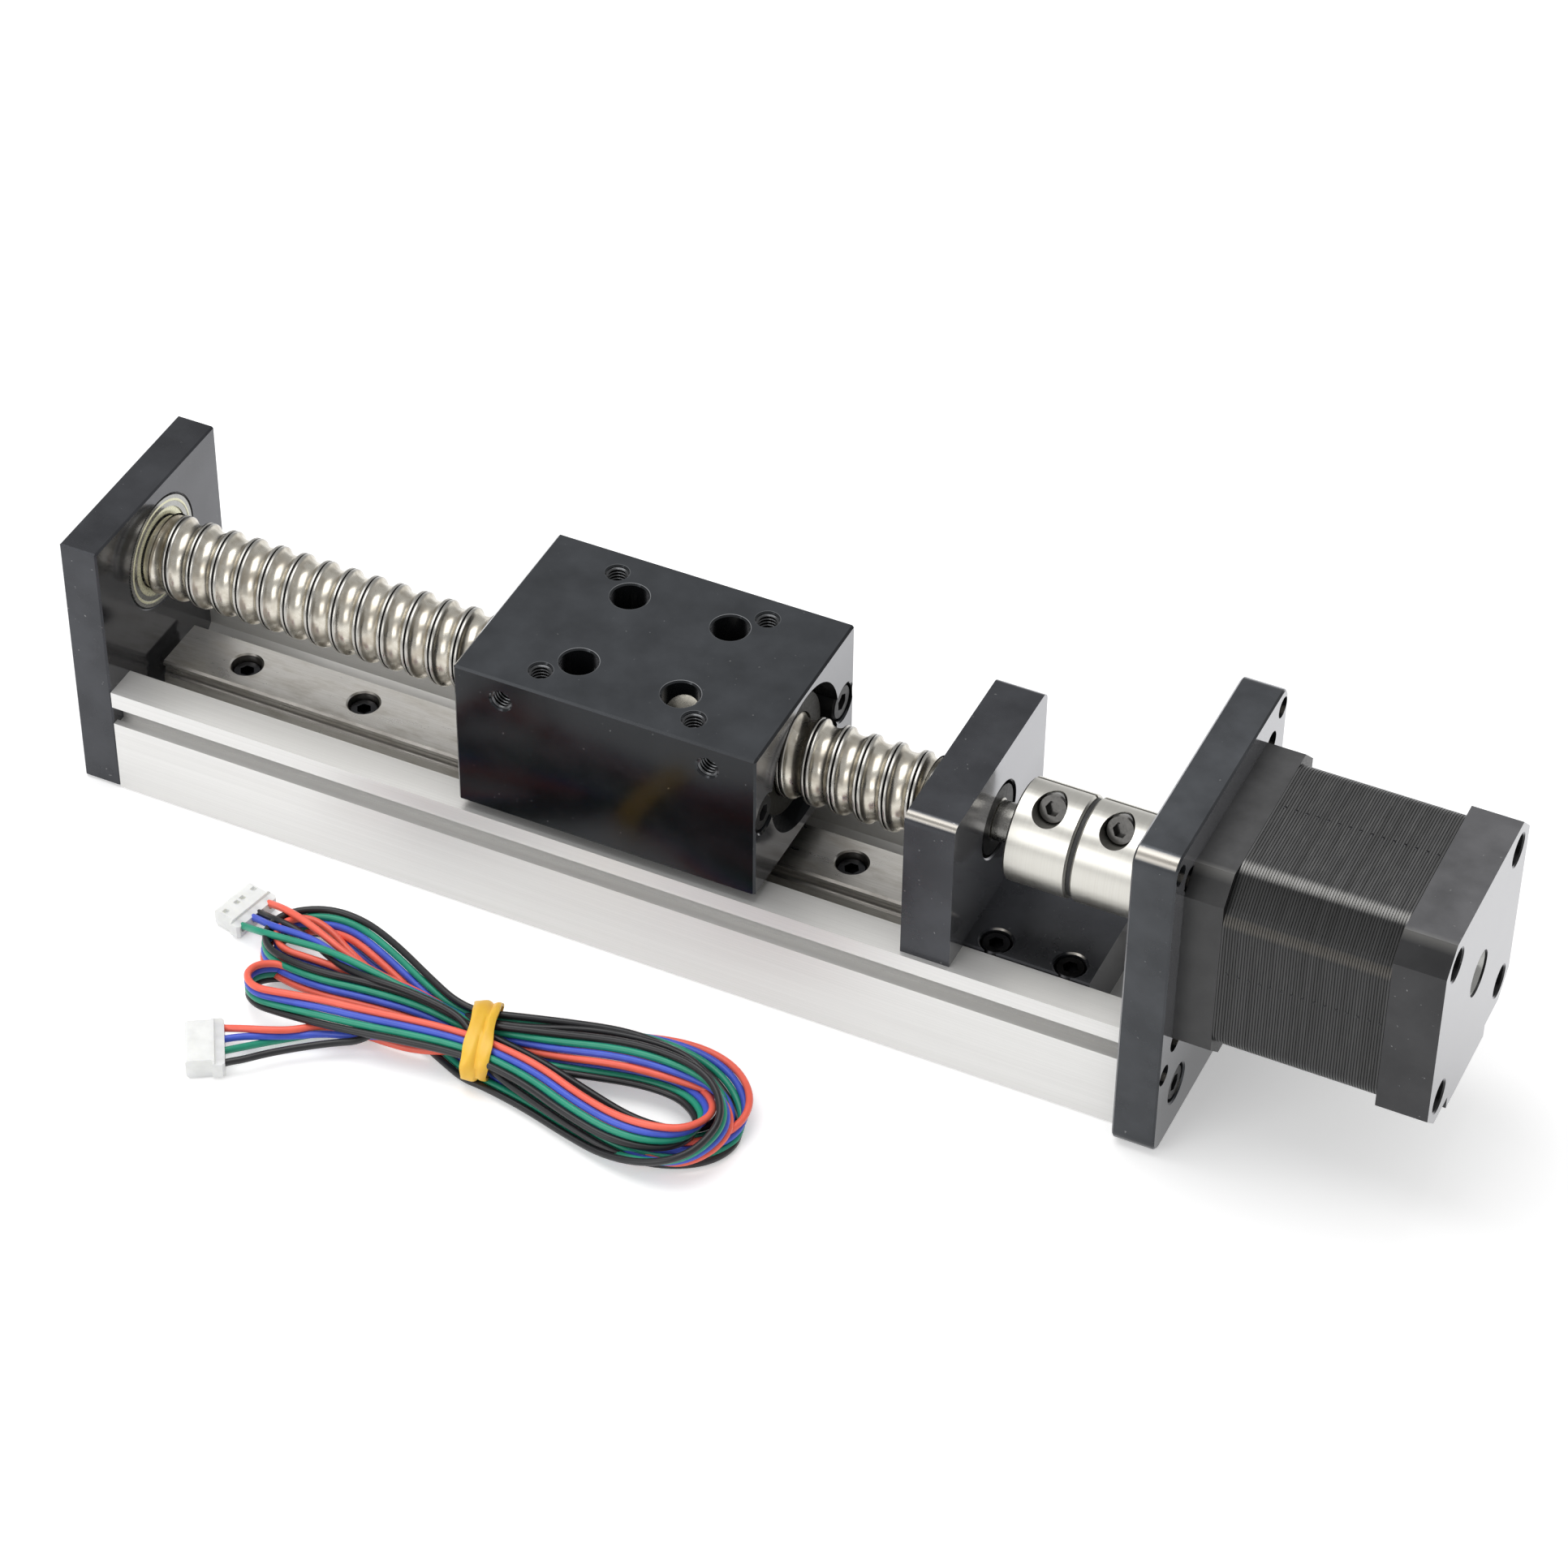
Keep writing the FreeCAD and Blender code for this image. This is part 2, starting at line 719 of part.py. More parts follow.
def make_nut_balls():
    leads = nut_groove_leads()
    start = groove_phase_station(leads)
    spare = (leads - nut_circuits) / 2
    balls = []
    for k in range(nut_balls):
        turns = spare + nut_circuits * (k + 0.5) / nut_balls
        ball = Part.makeSphere(ball_d / 2, V(groove_centre_r, 0, turns * lead))
        ball.rotate(V(0, 0, 0), Z_AXIS, 360 * turns)
        ball.rotate(V(0, 0, 0), Y_AXIS, 90)
        ball.translate(V(start, 0, axis_z))
        balls.append(ball)
    return balls


def make_wipers():
    r_in = crest_r + wiper_play
    return [ring_x(r_in, wiper_d / 2 - wiper_step, x_nut - wiper_t, x_nut),
            ring_x(r_in, wiper_d / 2, x_nut_end, x_nut_end + wiper_t)]


# Carriage
def make_carriage():
    body = box(x_carriage, x_carriage_end, -half_carriage, half_carriage, carriage_floor, carriage_top)
    body = body.makeChamfer(carriage_edge, body.Edges)
    cutters = [rod_x(nut_d / 2 + nut_fit, x_nut, x_carriage_end + 1),
               rod_x(nut_clear_r, x_carriage - 1, x_nut + 1)]
    seat = carriage_floor + slider_screw_seat
    r = access_hole / 2
    for x, y in slider_screw_places():
        cutters.append(rod_z(r, seat, carriage_top + 1, x, y))
        cutters.append(Part.makeCone(r, r + mouth, mouth, V(x, y, carriage_top - mouth), Z_AXIS))
        cutters.append(rod_z(m3[0] / 2 + through_play, carriage_floor - 1, seat + 1, x, y))
    for sx in (-1, 1):
        for sy in (-1, 1):
            cutters.append(tap_hole(table_tap, table_tap_depth, x_middle + sx * table_pattern / 2,
                                    sy * table_pattern / 2, carriage_top, -Z_AXIS))
            cutters.append(tap_hole(table_tap, table_tap_depth, x_middle + sx * side_tap_pitch / 2,
                                    sy * half_carriage, carriage_top - side_tap_drop, -Y_AXIS * sy))
    for y in (-nut_screw_y, nut_screw_y):
        hole = screw_hole(m4, x_carriage_end - x_nut_end, nut_tap_depth, True, nut_cbore_r)
        cutters.append(placed(hole, x_nut_end, y, axis_z, X_AXIS))
    return cut_all(body, cutters)


def make_slider_screws():
    screw = socket_screw(m3_low, slider_screw_seat + slider_thread)
    return [placed(screw, x, y, carriage_floor + slider_screw_seat, Z_AXIS) for x, y in slider_screw_places()]


def make_nut_screws():
    screw = socket_screw(m4, nut_screw_length)
    return [placed(screw, x_nut_end, y, axis_z, X_AXIS) for y in (-nut_screw_y, nut_screw_y)]


# Coupling
clamp_direction = V(0, -math.sin(math.radians(clamp_angle)), math.cos(math.radians(clamp_angle)))
clamp_side = V(0, math.cos(math.radians(clamp_angle)), math.sin(math.radians(clamp_angle)))


def clamp_seat_point(x):
    return V(x, 0, axis_z) + clamp_side * clamp_offset + clamp_direction * clamp_seat


def make_hub(x0, bore_r):
    body = rod_x(hub_d / 2, x0, x0 + hub_length)
    rims = [e for e in body.Edges if e.BoundBox.XLength < 0.01]
    body = body.makeChamfer(plate_edge, rims)
    x = x0 + hub_length / 2
    seat = clamp_seat_point(x)
    hole = screw_hole(m3, clamp_mouth, clamp_tap_depth, True, clamp_cbore_r)
    slot = box(x0 - 1, x0 + hub_length + 1, 0, hub_d, -clamp_slot / 2, clamp_slot / 2)
    slot.rotate(V(0, 0, 0), X_AXIS, clamp_angle)
    slot.translate(V(0, 0, axis_z))
    return cut_all(body, [rod_x(bore_r, x0 - 1, x0 + hub_length + 1), slot,
                          placed(hole, seat.x, seat.y, seat.z, clamp_direction)])


def make_coupling_insert():
    return ring_x(shaft_d / 2, hub_d / 2 - insert_inset, x_coupling + hub_length, x_hub_b)


def make_clamp_screws():
    screw = socket_screw(m3, clamp_screw_length)
    screws = []
    for x0 in (x_coupling, x_hub_b):
        seat = clamp_seat_point(x0 + hub_length / 2)
        screws.append(placed(screw, seat.x, seat.y, seat.z, clamp_direction))
    return screws


# Motor
def motor_screw_places():
    half = motor_pattern / 2
    return [(sy * half, axis_z + sz * half) for sy in (-1, 1) for sz in (-1, 1)]


def make_bell():
    body = square_x(motor_half, bell_chamfer, x_motor, x_stack)
    body = body.fuse(rod_x(pilot_d / 2, x_motor - pilot_t, x_motor))
    cutters = [rod_x(shaft_d / 2 + shaft_clearance, x_motor - pilot_t - 1, x_stack),
               rod_x(motor_bearing_od / 2 + tap_play, x_front_bearing, x_stack + 1),
               rod_x(winding_r, x_stack - bearing_wall, x_stack + 1)]
    for y, z in motor_screw_places():
        cutters.append(rod_x(m3[0] / 2 + tap_play, x_motor - 1, x_stack + 1, y, z))
    return cut_all(body, cutters)


def make_stack():
    body = square_x(motor_half, stack_chamfer, x_stack, x_cap)
    body = body.cut(rod_x(winding_r, x_stack - 1, x_cap + 1))
    ring = ring_x(pole_r, winding_r + pole_root, x_stack, x_cap)
    for k in range(pole_count):
        pole = box(x_stack, x_cap, pole_r - 1, winding_r + pole_root, -pole_width / 2, pole_width / 2)
        shoe_half = pole_width * shoe_share
        shoe = box(x_stack, x_cap, pole_r - 1, pole_r + shoe_t, -shoe_half, shoe_half)
        tooth = pole.fuse(shoe)
        # the tooth points along +Y of a bar along X, then turns to its place
        tooth = placed_tooth(tooth, 360.0 * k / pole_count)
        body = body.fuse(tooth.common(ring))
    cutters = [rod_x(m3[0] / 2 + through_play, x_stack - 1, x_cap + 1, y, z)
               for y, z in motor_screw_places()]
    return cut_all(body.removeSplitter(), cutters)


def placed_tooth(shape, angle):
    out = shape.copy()
    out.rotate(V(0, 0, 0), X_AXIS, angle)
    out.translate(V(0, 0, axis_z))
    return out


def make_coils():
    coils = []
    r0 = pole_r + shoe_t + coil_play * 4
    r1 = winding_r - coil_inset
    hole = coil_play
    for k in range(pole_count):
        half = pole_width / 2
        outer = box(x_stack - coil_over, x_cap + coil_over, r0, r1, -half - coil_t, half + coil_t)
        inner = box(x_stack - hole, x_cap + hole, r0 - 1, r1 + 1, -half - hole, half + hole)
        coils.append(placed_tooth(outer.cut(inner), 360.0 * k / pole_count))
    return coils


def make_rear_cap():
    body = square_x(motor_half, bell_chamfer, x_cap, x_end)
    half = boss_width / 2
    wide = half + boss_wall
    low = motor_bottom - boss_drop
    boss = box(x_end - boss_depth, x_end, -wide, wide, low, motor_bottom + boss_rise)
    body = body.fuse(boss).removeSplitter()
    cutters = [rod_x(motor_bearing_od / 2 + tap_play, x_cap - 1,
                     x_rear_bearing + motor_bearing_w + spring_t),
               rod_x(winding_r, x_cap - 1, x_cap + end_recess),
               rod_x(rear_hole_d / 2, x_cap, x_end + 1),
               box(x_end - boss_depth + boss_wall, x_end - boss_wall, -half, half, low - 1,
                   motor_bottom + boss_rise)]
    for y, z in motor_screw_places():
        hole = screw_hole(m3, rear_screw_depth, cap_t, False, rear_screw_hole / 2)
        cutters.append(placed(hole, x_end - rear_screw_depth, y, z, X_AXIS))
    return cut_all(body, cutters)


def make_motor_screws():
    """Long screws from the rear cap into the bell, and short ones that hold the bell to the plate."""
    seat = x_end - rear_screw_depth
    long_screw = socket_screw(m3_low, seat - x_stack + bell_t * screw_share)
    seat_front = x_plate + m3[2] + 0.3
    short_screw = socket_screw(m3, x_motor - seat_front + bell_t * screw_share)
    rear = [placed(long_screw, seat, y, z, X_AXIS) for y, z in motor_screw_places()]
    front = [placed(short_screw, seat_front, y, z, -X_AXIS) for y, z in motor_screw_places()]
    return rear, front


def make_connector():
    half = boss_width / 2 - socket_play
    low = motor_bottom - boss_drop + socket_recess
    top = motor_bottom + boss_rise
    x0 = x_end - boss_depth + boss_wall + socket_play
    x1 = x_end - boss_wall - socket_play
    wall = socket_wall
    back = top - socket_back
    hollow = box(x0 + wall, x1 - wall, -half + wall, half - wall, low - 1, back)
    shell = box(x0, x1, -half, half, low, top).cut(hollow)
    middle = (x0 + x1) / 2
    pin = pin_size / 2
    pins = []
    for k in range(pin_count):
        y = (k - (pin_count - 1) / 2) * pin_pitch
        pins.append(box(middle - pin, middle + pin, y - pin, y + pin, low + wall, back))
    return shell, pins


def make_rotor():
    r = pole_r - air_gap
    cups = []
    middle = (x_stack + x_cap) / 2
    for side in (-1, 1):
        xs = sorted((middle + side * magnet_t / 2, middle + side * rotor_cup))
        cups.append(ring_x(shaft_d / 2, r, xs[0], xs[1]))
    magnet = ring_x(shaft_d / 2, r - 1, middle - magnet_t / 2, middle + magnet_t / 2)
    return cups, magnet


# Loose motor lead: a folded hank with a rubber band, two free ends and their plugs.
# Its places are hand-chosen, measured from the module's left end and from its middle plane.
plug_a_place = (50.1, -42.8)
plug_a_turn = -12.0
plug_b_place = (61.5, -74.5)
plug_b_turn = 31.0
band_place = (102.6, -56.9)
band_turn = 14.0
tail_b_points = [(68.2, -70.4, 1.5), (71.4, -67.2, 1.5), (74.4, -63.6, 1.5)]
hank_outline = [(57.4, -44.0), (60.5, -40.0), (66.5, -38.6), (73.5, -39.8), (81.5, -43.0),
                (89.0, -46.8), (97.0, -49.9), (104.4, -48.2), (114.0, -44.6), (126.0, -41.4),
                (137.0, -40.8), (146.5, -43.6), (153.0, -49.6), (155.8, -56.6), (154.0, -64.0),
                (148.4, -69.6), (140.0, -71.0), (130.0, -69.6), (118.6, -67.0), (108.4, -64.0),
                (101.0, -65.6), (91.0, -66.8), (77.5, -66.8), (66.0, -65.4), (59.6, -60.8),
                (57.0, -52.4)]


def from_left(x, y, z=0.0):
    """A point given from the module's left end, in the module's own frame."""
    return V(x + x_left, y, z)


def make_hank():
    curve = Part.BSplineCurve()
    curve.interpolate([from_left(x, y, hank_low) for x, y in hank_outline], PeriodicFlag=True)
    return Part.Face(Part.Wire(curve.toShape())).extrude(Z_AXIS * hank_height)


def make_band():
    """The rubber band: a ring with a loose rectangular section, round the waist of the hank."""
    at = from_left(*band_place)
    half = band_half
    top = hank_low + hank_height
    body = box(-band_width / 2, band_width / 2, -half - band_t, half + band_t,
               hank_low - band_t, top + band_t)
    long_edges = [e for e in body.Edges if e.BoundBox.XLength > band_width * 0.9]
    body = body.makeFillet(band_t, long_edges)
    body = body.cut(box(-band_width, band_width, -half, half, hank_low, top))
    body.rotate(V(0, 0, 0), Z_AXIS, band_turn)
    body.translate(at)
    return body


def plug_direction(turn):
    return V(math.cos(math.radians(turn)), math.sin(math.radians(turn)), 0)


def make_plug(place, turn, size, pins, windows):
    """A plug housing that lies flat, its wire side towards the direction of the turn."""
    length, width, height = size
    half = width / 2
    body = box(-length, 0, -half, half, 0, height)
    body = body.makeChamfer(plug_chamfer, body.Edges)
    front = -length * plug_ear_share
    cutters = [box(-length - 1, front, side * half - plug_ear, side * half + plug_ear,
                   -1, height + 1) for side in (-1, 1)]
    cutters.append(box(-plug_step_length, 1, -half - 1, half + 1, height - plug_step, height + 1))
    for y in pins:
        window = plug_window / 2
        if windows:
            cutters.append(box(-plug_window_place - window, -plug_window_place + window,
                               y - window, y + window, height - plug_window_depth, height + 1))
        cutters.append(rod_x(plug_entry_d / 2, -plug_entry_depth, 1, y, height * plug_entry_share))
    body = cut_all(body, cutters)
    body.rotate(V(0, 0, 0), Z_AXIS, turn)
    body.translate(from_left(*place))
    return body


def lead_path(points):
    """Straight runs joined by tangent arcs, and the arcs' radii."""
    edges = []
    radii = []
    at = points[0]
    for k in range(1, len(points) - 1):
        before = points[k - 1] - points[k]
        after = points[k + 1] - points[k]
        reach = 0.45 * min(before.Length, after.Length)
        half_open = before.getAngle(after) / 2
        r = reach * math.tan(half_open)
        radii.append(round(r, 1))
        start = points[k] + before.normalize() * reach
        end = points[k] + after.normalize() * reach
        middle = points[k] + (before + after).normalize() * (r / math.sin(half_open) - r)
        edges.append(Part.LineSegment(at, start).toShape())
        edges.append(Part.Arc(start, middle, end).toShape())
        at = end
    edges.append(Part.LineSegment(at, points[-1]).toShape())
    return Part.Wire(edges), radii


def tube(points, label):
    path, radii = lead_path(points)
    direction = (points[1] - points[0]).normalize()
    section = Part.Wire(Part.makeCircle(bundle_d / 2, points[0], direction))
    solid = path.makePipeShell([section], True, True)
    ideal = math.pi * bundle_d ** 2 / 4 * path.Length
    print(label, "length", round(path.Length, 1), "radii", radii,
          "volume share", round(solid.Volume / ideal, 3))
    return solid


def make_tail_a():
    direction = plug_direction(plug_a_turn)
    start = from_left(*plug_a_place, plug_a_size[2] / 2)
    return tube([start, start + direction * tail_a_length], "tail a")


def make_tail_b():
    start = from_left(*plug_b_place, bundle_d / 2)
    first = start + plug_direction(plug_b_turn) * tail_b_start
    return tube([start, first] + [from_left(*p) for p in tail_b_points], "tail b")


os.makedirs("parts", exist_ok=True)

save("base_profile", make_profile())
save("end_plate", make_end_plate())
save("bearing_support", make_support())
save("motor_plate", make_motor_plate())
save("end_plate_screws", plate_screws(x_left + plate_screw_seat, -X_AXIS))
save("motor_plate_screws", plate_screws(x_motor - plate_screw_seat, X_AXIS))
save("support_screws", make_foot_screws())
save("guide_rail", make_rail())
save("rail_screws", make_rail_screws())
save("end_bearing_outer_ring", bearing_outer(x_end_bearing, *main_bearing))
save("end_bearing_inner_ring", bearing_inner(x_end_bearing, *main_bearing))
save("end_bearing_balls", bearing_ball_set(x_end_bearing, *main_bearing, bearing_balls))
save("end_bearing_shields", bearing_shields(x_end_bearing, *main_bearing))
save("support_bearing_outer_ring", bearing_outer(x_support, *main_bearing))
save("support_bearing_inner_ring", bearing_inner(x_support, *main_bearing))
save("support_bearing_balls", bearing_ball_set(x_support, *main_bearing, bearing_balls))
save("support_bearing_shields", bearing_shields(x_support, *main_bearing))
save("ball_screw", make_screw())
save("screw_lock_nut", ring_x(bearing_bore / 2, lock_nut_d / 2, x_support + bearing_w,
                              x_support + bearing_w + lock_nut_t))
save("ball_nut", make_nut())
save("nut_balls", make_nut_balls())
save("nut_wipers", make_wipers())
save("carriage", make_carriage())
save("carriage_screws", make_slider_screws())
save("nut_screws", make_nut_screws())
save("slider_body", make_slider_body())
save("slider_end_cap_left", make_slider_cap(-1))
save("slider_end_cap_right", make_slider_cap(1))
save("slider_seals", make_slider_seals())
save("slider_cap_screws", make_cap_screws())
save("slider_balls", make_guide_balls())
save("coupling_hub_screw_side", make_hub(x_coupling, drive_end_d / 2))
save("coupling_hub_motor_side", make_hub(x_hub_b, shaft_d / 2))
save("coupling_insert", make_coupling_insert())
save("coupling_clamp_screws", make_clamp_screws())
save("motor_front_bell", make_bell())
save("motor_stator_stack", make_stack())
save("motor_coils", make_coils())
save("motor_rear_cap", make_rear_cap())
rear_screws, front_screws = make_motor_screws()
save("motor_long_screws", rear_screws)
save("motor_mount_screws", front_screws)
socket_shell, socket_pins = make_connector()
save("motor_connector", socket_shell)
save("motor_connector_pins", socket_pins)
rotor_cups, rotor_magnet = make_rotor()
save("rotor_cups", rotor_cups)
save("rotor_magnet", rotor_magnet)
save("motor_shaft", rod_x(shaft_d / 2, x_motor - shaft_out, x_end - shaft_rear_gap))
motor_bearing_stations = (x_front_bearing, x_rear_bearing)
save("motor_bearing_outer_rings", [bearing_outer(x, *motor_bearing) for x in motor_bearing_stations])
save("motor_bearing_inner_rings", [bearing_inner(x, *motor_bearing) for x in motor_bearing_stations])
save("motor_bearing_balls", bearing_ball_set(x_front_bearing, *motor_bearing, bearing_balls)
     + bearing_ball_set(x_rear_bearing, *motor_bearing, bearing_balls))
x_spring = x_rear_bearing + motor_bearing_w
save("motor_spring_washer", ring_x(spring_bore / 2, motor_bearing_od / 2 - spring_inset,
                                   x_spring, x_spring + spring_t))
save("lead_hank", make_hank())
save("lead_band", make_band())
save("lead_plug_upper", make_plug(plug_a_place, plug_a_turn, plug_a_size, plug_a_pins, True))
save("lead_plug_lower", make_plug(plug_b_place, plug_b_turn, plug_b_size, plug_b_pins, False))
save("lead_tail_upper", make_tail_a())
save("lead_tail_lower", make_tail_b())
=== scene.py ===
import json
import math

import bmesh
import bpy
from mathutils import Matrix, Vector


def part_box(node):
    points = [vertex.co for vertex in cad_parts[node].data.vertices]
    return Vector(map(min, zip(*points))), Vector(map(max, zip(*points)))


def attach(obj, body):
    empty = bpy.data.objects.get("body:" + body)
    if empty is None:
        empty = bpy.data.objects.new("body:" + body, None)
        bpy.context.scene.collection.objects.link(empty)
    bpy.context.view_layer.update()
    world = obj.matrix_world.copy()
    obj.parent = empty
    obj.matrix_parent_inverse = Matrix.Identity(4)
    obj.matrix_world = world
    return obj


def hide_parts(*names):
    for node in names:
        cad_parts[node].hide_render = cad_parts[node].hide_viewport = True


MM = 0.001

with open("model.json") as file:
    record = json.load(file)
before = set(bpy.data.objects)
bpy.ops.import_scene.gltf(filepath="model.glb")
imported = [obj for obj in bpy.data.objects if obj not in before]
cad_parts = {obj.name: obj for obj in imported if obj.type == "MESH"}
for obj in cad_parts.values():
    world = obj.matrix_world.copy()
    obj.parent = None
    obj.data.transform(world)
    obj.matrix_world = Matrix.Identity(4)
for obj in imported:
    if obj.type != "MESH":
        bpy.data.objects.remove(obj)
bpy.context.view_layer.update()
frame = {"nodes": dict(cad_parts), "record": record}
nodes = frame["nodes"]

# Stations along X, read from the frame
LEFT_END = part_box("end_plate")[0][0]
AXIS_Z = (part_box("ball_screw")[0][2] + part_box("ball_screw")[1][2]) / 2


# Camera, as the photograph was taken
CAMERA_PLACE_MM = (275.77, -589.43, 619.45)
CAMERA_TURN_DEG = (47.954, -0.500, 25.297)
CAMERA_LENS = 112.37
SENSOR_WIDTH = 36.0


def make_camera():
    data = bpy.data.cameras.new("camera")
    data.lens = CAMERA_LENS
    data.sensor_width = SENSOR_WIDTH
    data.clip_start = 0.01
    camera = bpy.data.objects.new("camera", data)
    camera.location = [v * MM for v in CAMERA_PLACE_MM]
    camera.rotation_euler = [math.radians(v) for v in CAMERA_TURN_DEG]
    bpy.context.scene.collection.objects.link(camera)
    bpy.context.scene.camera = camera


make_camera()


# Mesh helpers
def grid_faces(rows, count, closed_rows, closed_count):
    """Quads between neighbouring rows of points."""
    faces = []
    for k in range(rows if closed_rows else rows - 1):
        for j in range(count if closed_count else count - 1):
            a = k * count + j
            b = k * count + (j + 1) % count
            c = ((k + 1) % rows) * count + (j + 1) % count
            d = ((k + 1) % rows) * count + j
            faces.append((a, b, c, d))
    return faces


def mesh_piece(name, vertices, faces, material, smooth_deg=35.0, more=()):
    """An object from points in metres, its doubled points joined and its faces turned outwards."""
    mesh = bpy.data.meshes.new(name)
    mesh.from_pydata(vertices, [], faces)
    shell = bmesh.new()
    for part in (mesh, *more):
        shell.from_mesh(part)
    bmesh.ops.remove_doubles(shell, verts=shell.verts, dist=0.000001)
    bmesh.ops.dissolve_degenerate(shell, edges=shell.edges, dist=0.000001)
    bmesh.ops.recalc_face_normals(shell, faces=shell.faces)
    limit = math.radians(smooth_deg)
    for edge in shell.edges:
        edge.smooth = len(edge.link_faces) == 2 and edge.calc_face_angle(0.0) < limit
    for face in shell.faces:
        face.smooth = True
    shell.to_mesh(mesh)
    shell.free()
    mesh.materials.append(material)
    piece = bpy.data.objects.new(name, mesh)
    bpy.context.scene.collection.objects.link(piece)
    return piece


def add_turned(vertices, faces, steps, y, z, around=64):
    """Adds a closed turned shape along X: steps are (x, radius) in millimetres."""
    first = len(vertices)
    for x, radius in steps:
        for k in range(around):
            turn = 2 * math.pi * k / around
            vertices.append(Vector((x, y + radius * math.sin(turn), z - radius * math.cos(turn))) * MM)
    for row in range(len(steps) - 1):
        for k in range(around):
            a = first + row * around + k
            b = first + row * around + (k + 1) % around
            faces.append((a, b, b + around, a + around))
    faces.append(tuple(first + k for k in range(around)))
    last = first + (len(steps) - 1) * around
    faces.append(tuple(last + k for k in range(around)))


def repeat_tree():
    """Geometry Nodes: the object's own mesh repeated in a row, cut to a box and given a finish."""
    tree = bpy.data.node_groups.new("repeat_in_a_row", "GeometryNodeTree")
    for label, kind in (("Unit", "Geometry"), ("Count", "Int"), ("Step", "Vector"), ("Join", "Float"),
                        ("Low", "Vector"), ("High", "Vector"), ("Finish", "Material")):
        tree.interface.new_socket(name=label, in_out="INPUT", socket_type="NodeSocket" + kind)
    tree.interface.new_socket(name="Row", in_out="OUTPUT", socket_type="NodeSocketGeometry")
    given = tree.nodes.new("NodeGroupInput").outputs
    line = tree.nodes.new("GeometryNodeMeshLine")
    line.mode = "OFFSET"
    spread = tree.nodes.new("GeometryNodeInstanceOnPoints")
    join = tree.nodes.new("GeometryNodeMergeByDistance")
    place = tree.nodes.new("GeometryNodeInputPosition")
    above = tree.nodes.new("ShaderNodeVectorMath")
    above.operation = "MAXIMUM"
    below = tree.nodes.new("ShaderNodeVectorMath")
    below.operation = "MINIMUM"
    cut = tree.nodes.new("GeometryNodeSetPosition")
    real = tree.nodes.new("GeometryNodeRealizeInstances")
    paint = tree.nodes.new("GeometryNodeSetMaterial")
    out = tree.nodes.new("NodeGroupOutput")
    for a, b in ((given["Count"], line.inputs["Count"]), (given["Step"], line.inputs["Offset"]),
                 (line.outputs["Mesh"], spread.inputs["Points"]), (given["Unit"], spread.inputs["Instance"]),
                 (spread.outputs["Instances"], real.inputs["Geometry"]),
                 (real.outputs["Geometry"], join.inputs["Geometry"]),
                 (given["Join"], join.inputs["Distance"]),
                 (place.outputs["Position"], above.inputs[0]), (given["Low"], above.inputs[1]),
                 (above.outputs["Vector"], below.inputs[0]), (given["High"], below.inputs[1]),
                 (join.outputs["Geometry"], cut.inputs["Geometry"]),
                 (below.outputs["Vector"], cut.inputs["Position"]),
                 (cut.outputs["Geometry"], paint.inputs["Geometry"]),
                 (given["Finish"], paint.inputs["Material"]),
                 (paint.outputs["Geometry"], out.inputs["Row"])):
        tree.links.new(a, b)
    return tree


REPEAT = repeat_tree()


def repeated(unit, count, step, material, low=(-1, -1, -1), high=(1, 1, 1), join=0.0):
    """The mesh of a unit repeated in a row; the unit object is used up."""
    modifier = unit.modifiers.new("row", "NODES")
    modifier.node_group = REPEAT
    sockets = {item.name: item.identifier for item in REPEAT.interface.items_tree}
    for label, value in (("Count", count), ("Step", step), ("Join", join), ("Low", low), ("High", high),
                         ("Finish", material)):
        modifier[sockets[label]] = value
    unit.update_tag()
    graph = bpy.context.evaluated_depsgraph_get()
    mesh = bpy.data.meshes.new_from_object(unit.evaluated_get(graph), depsgraph=graph)
    unit.modifiers.remove(modifier)
    bpy.data.objects.remove(unit)
    return mesh


def unit_object(name, vertices, faces):
    mesh = bpy.data.meshes.new(name)
    mesh.from_pydata(vertices, [], faces)
    unit = bpy.data.objects.new(name, mesh)
    bpy.context.scene.collection.objects.link(unit)
    return unit


def add_ring(vertices, faces, profile, centre, axis, around=48):
    """Adds a closed ring: the profile is (along the axis, radius) in millimetres."""
    first = len(vertices)
    axis = Vector(axis)
    side = Vector((0, 0, 1)) if abs(axis.z) < 0.5 else Vector((1, 0, 0))
    other = axis.cross(side)
    for k in range(around):
        turn = 2 * math.pi * k / around
        out = side * math.cos(turn) + other * math.sin(turn)
        for along, radius in profile:
            vertices.append((Vector(centre) + axis * along + out * radius) * MM)
    for face in grid_faces(around, len(profile), True, True):
        faces.append(tuple(first + v for v in face))


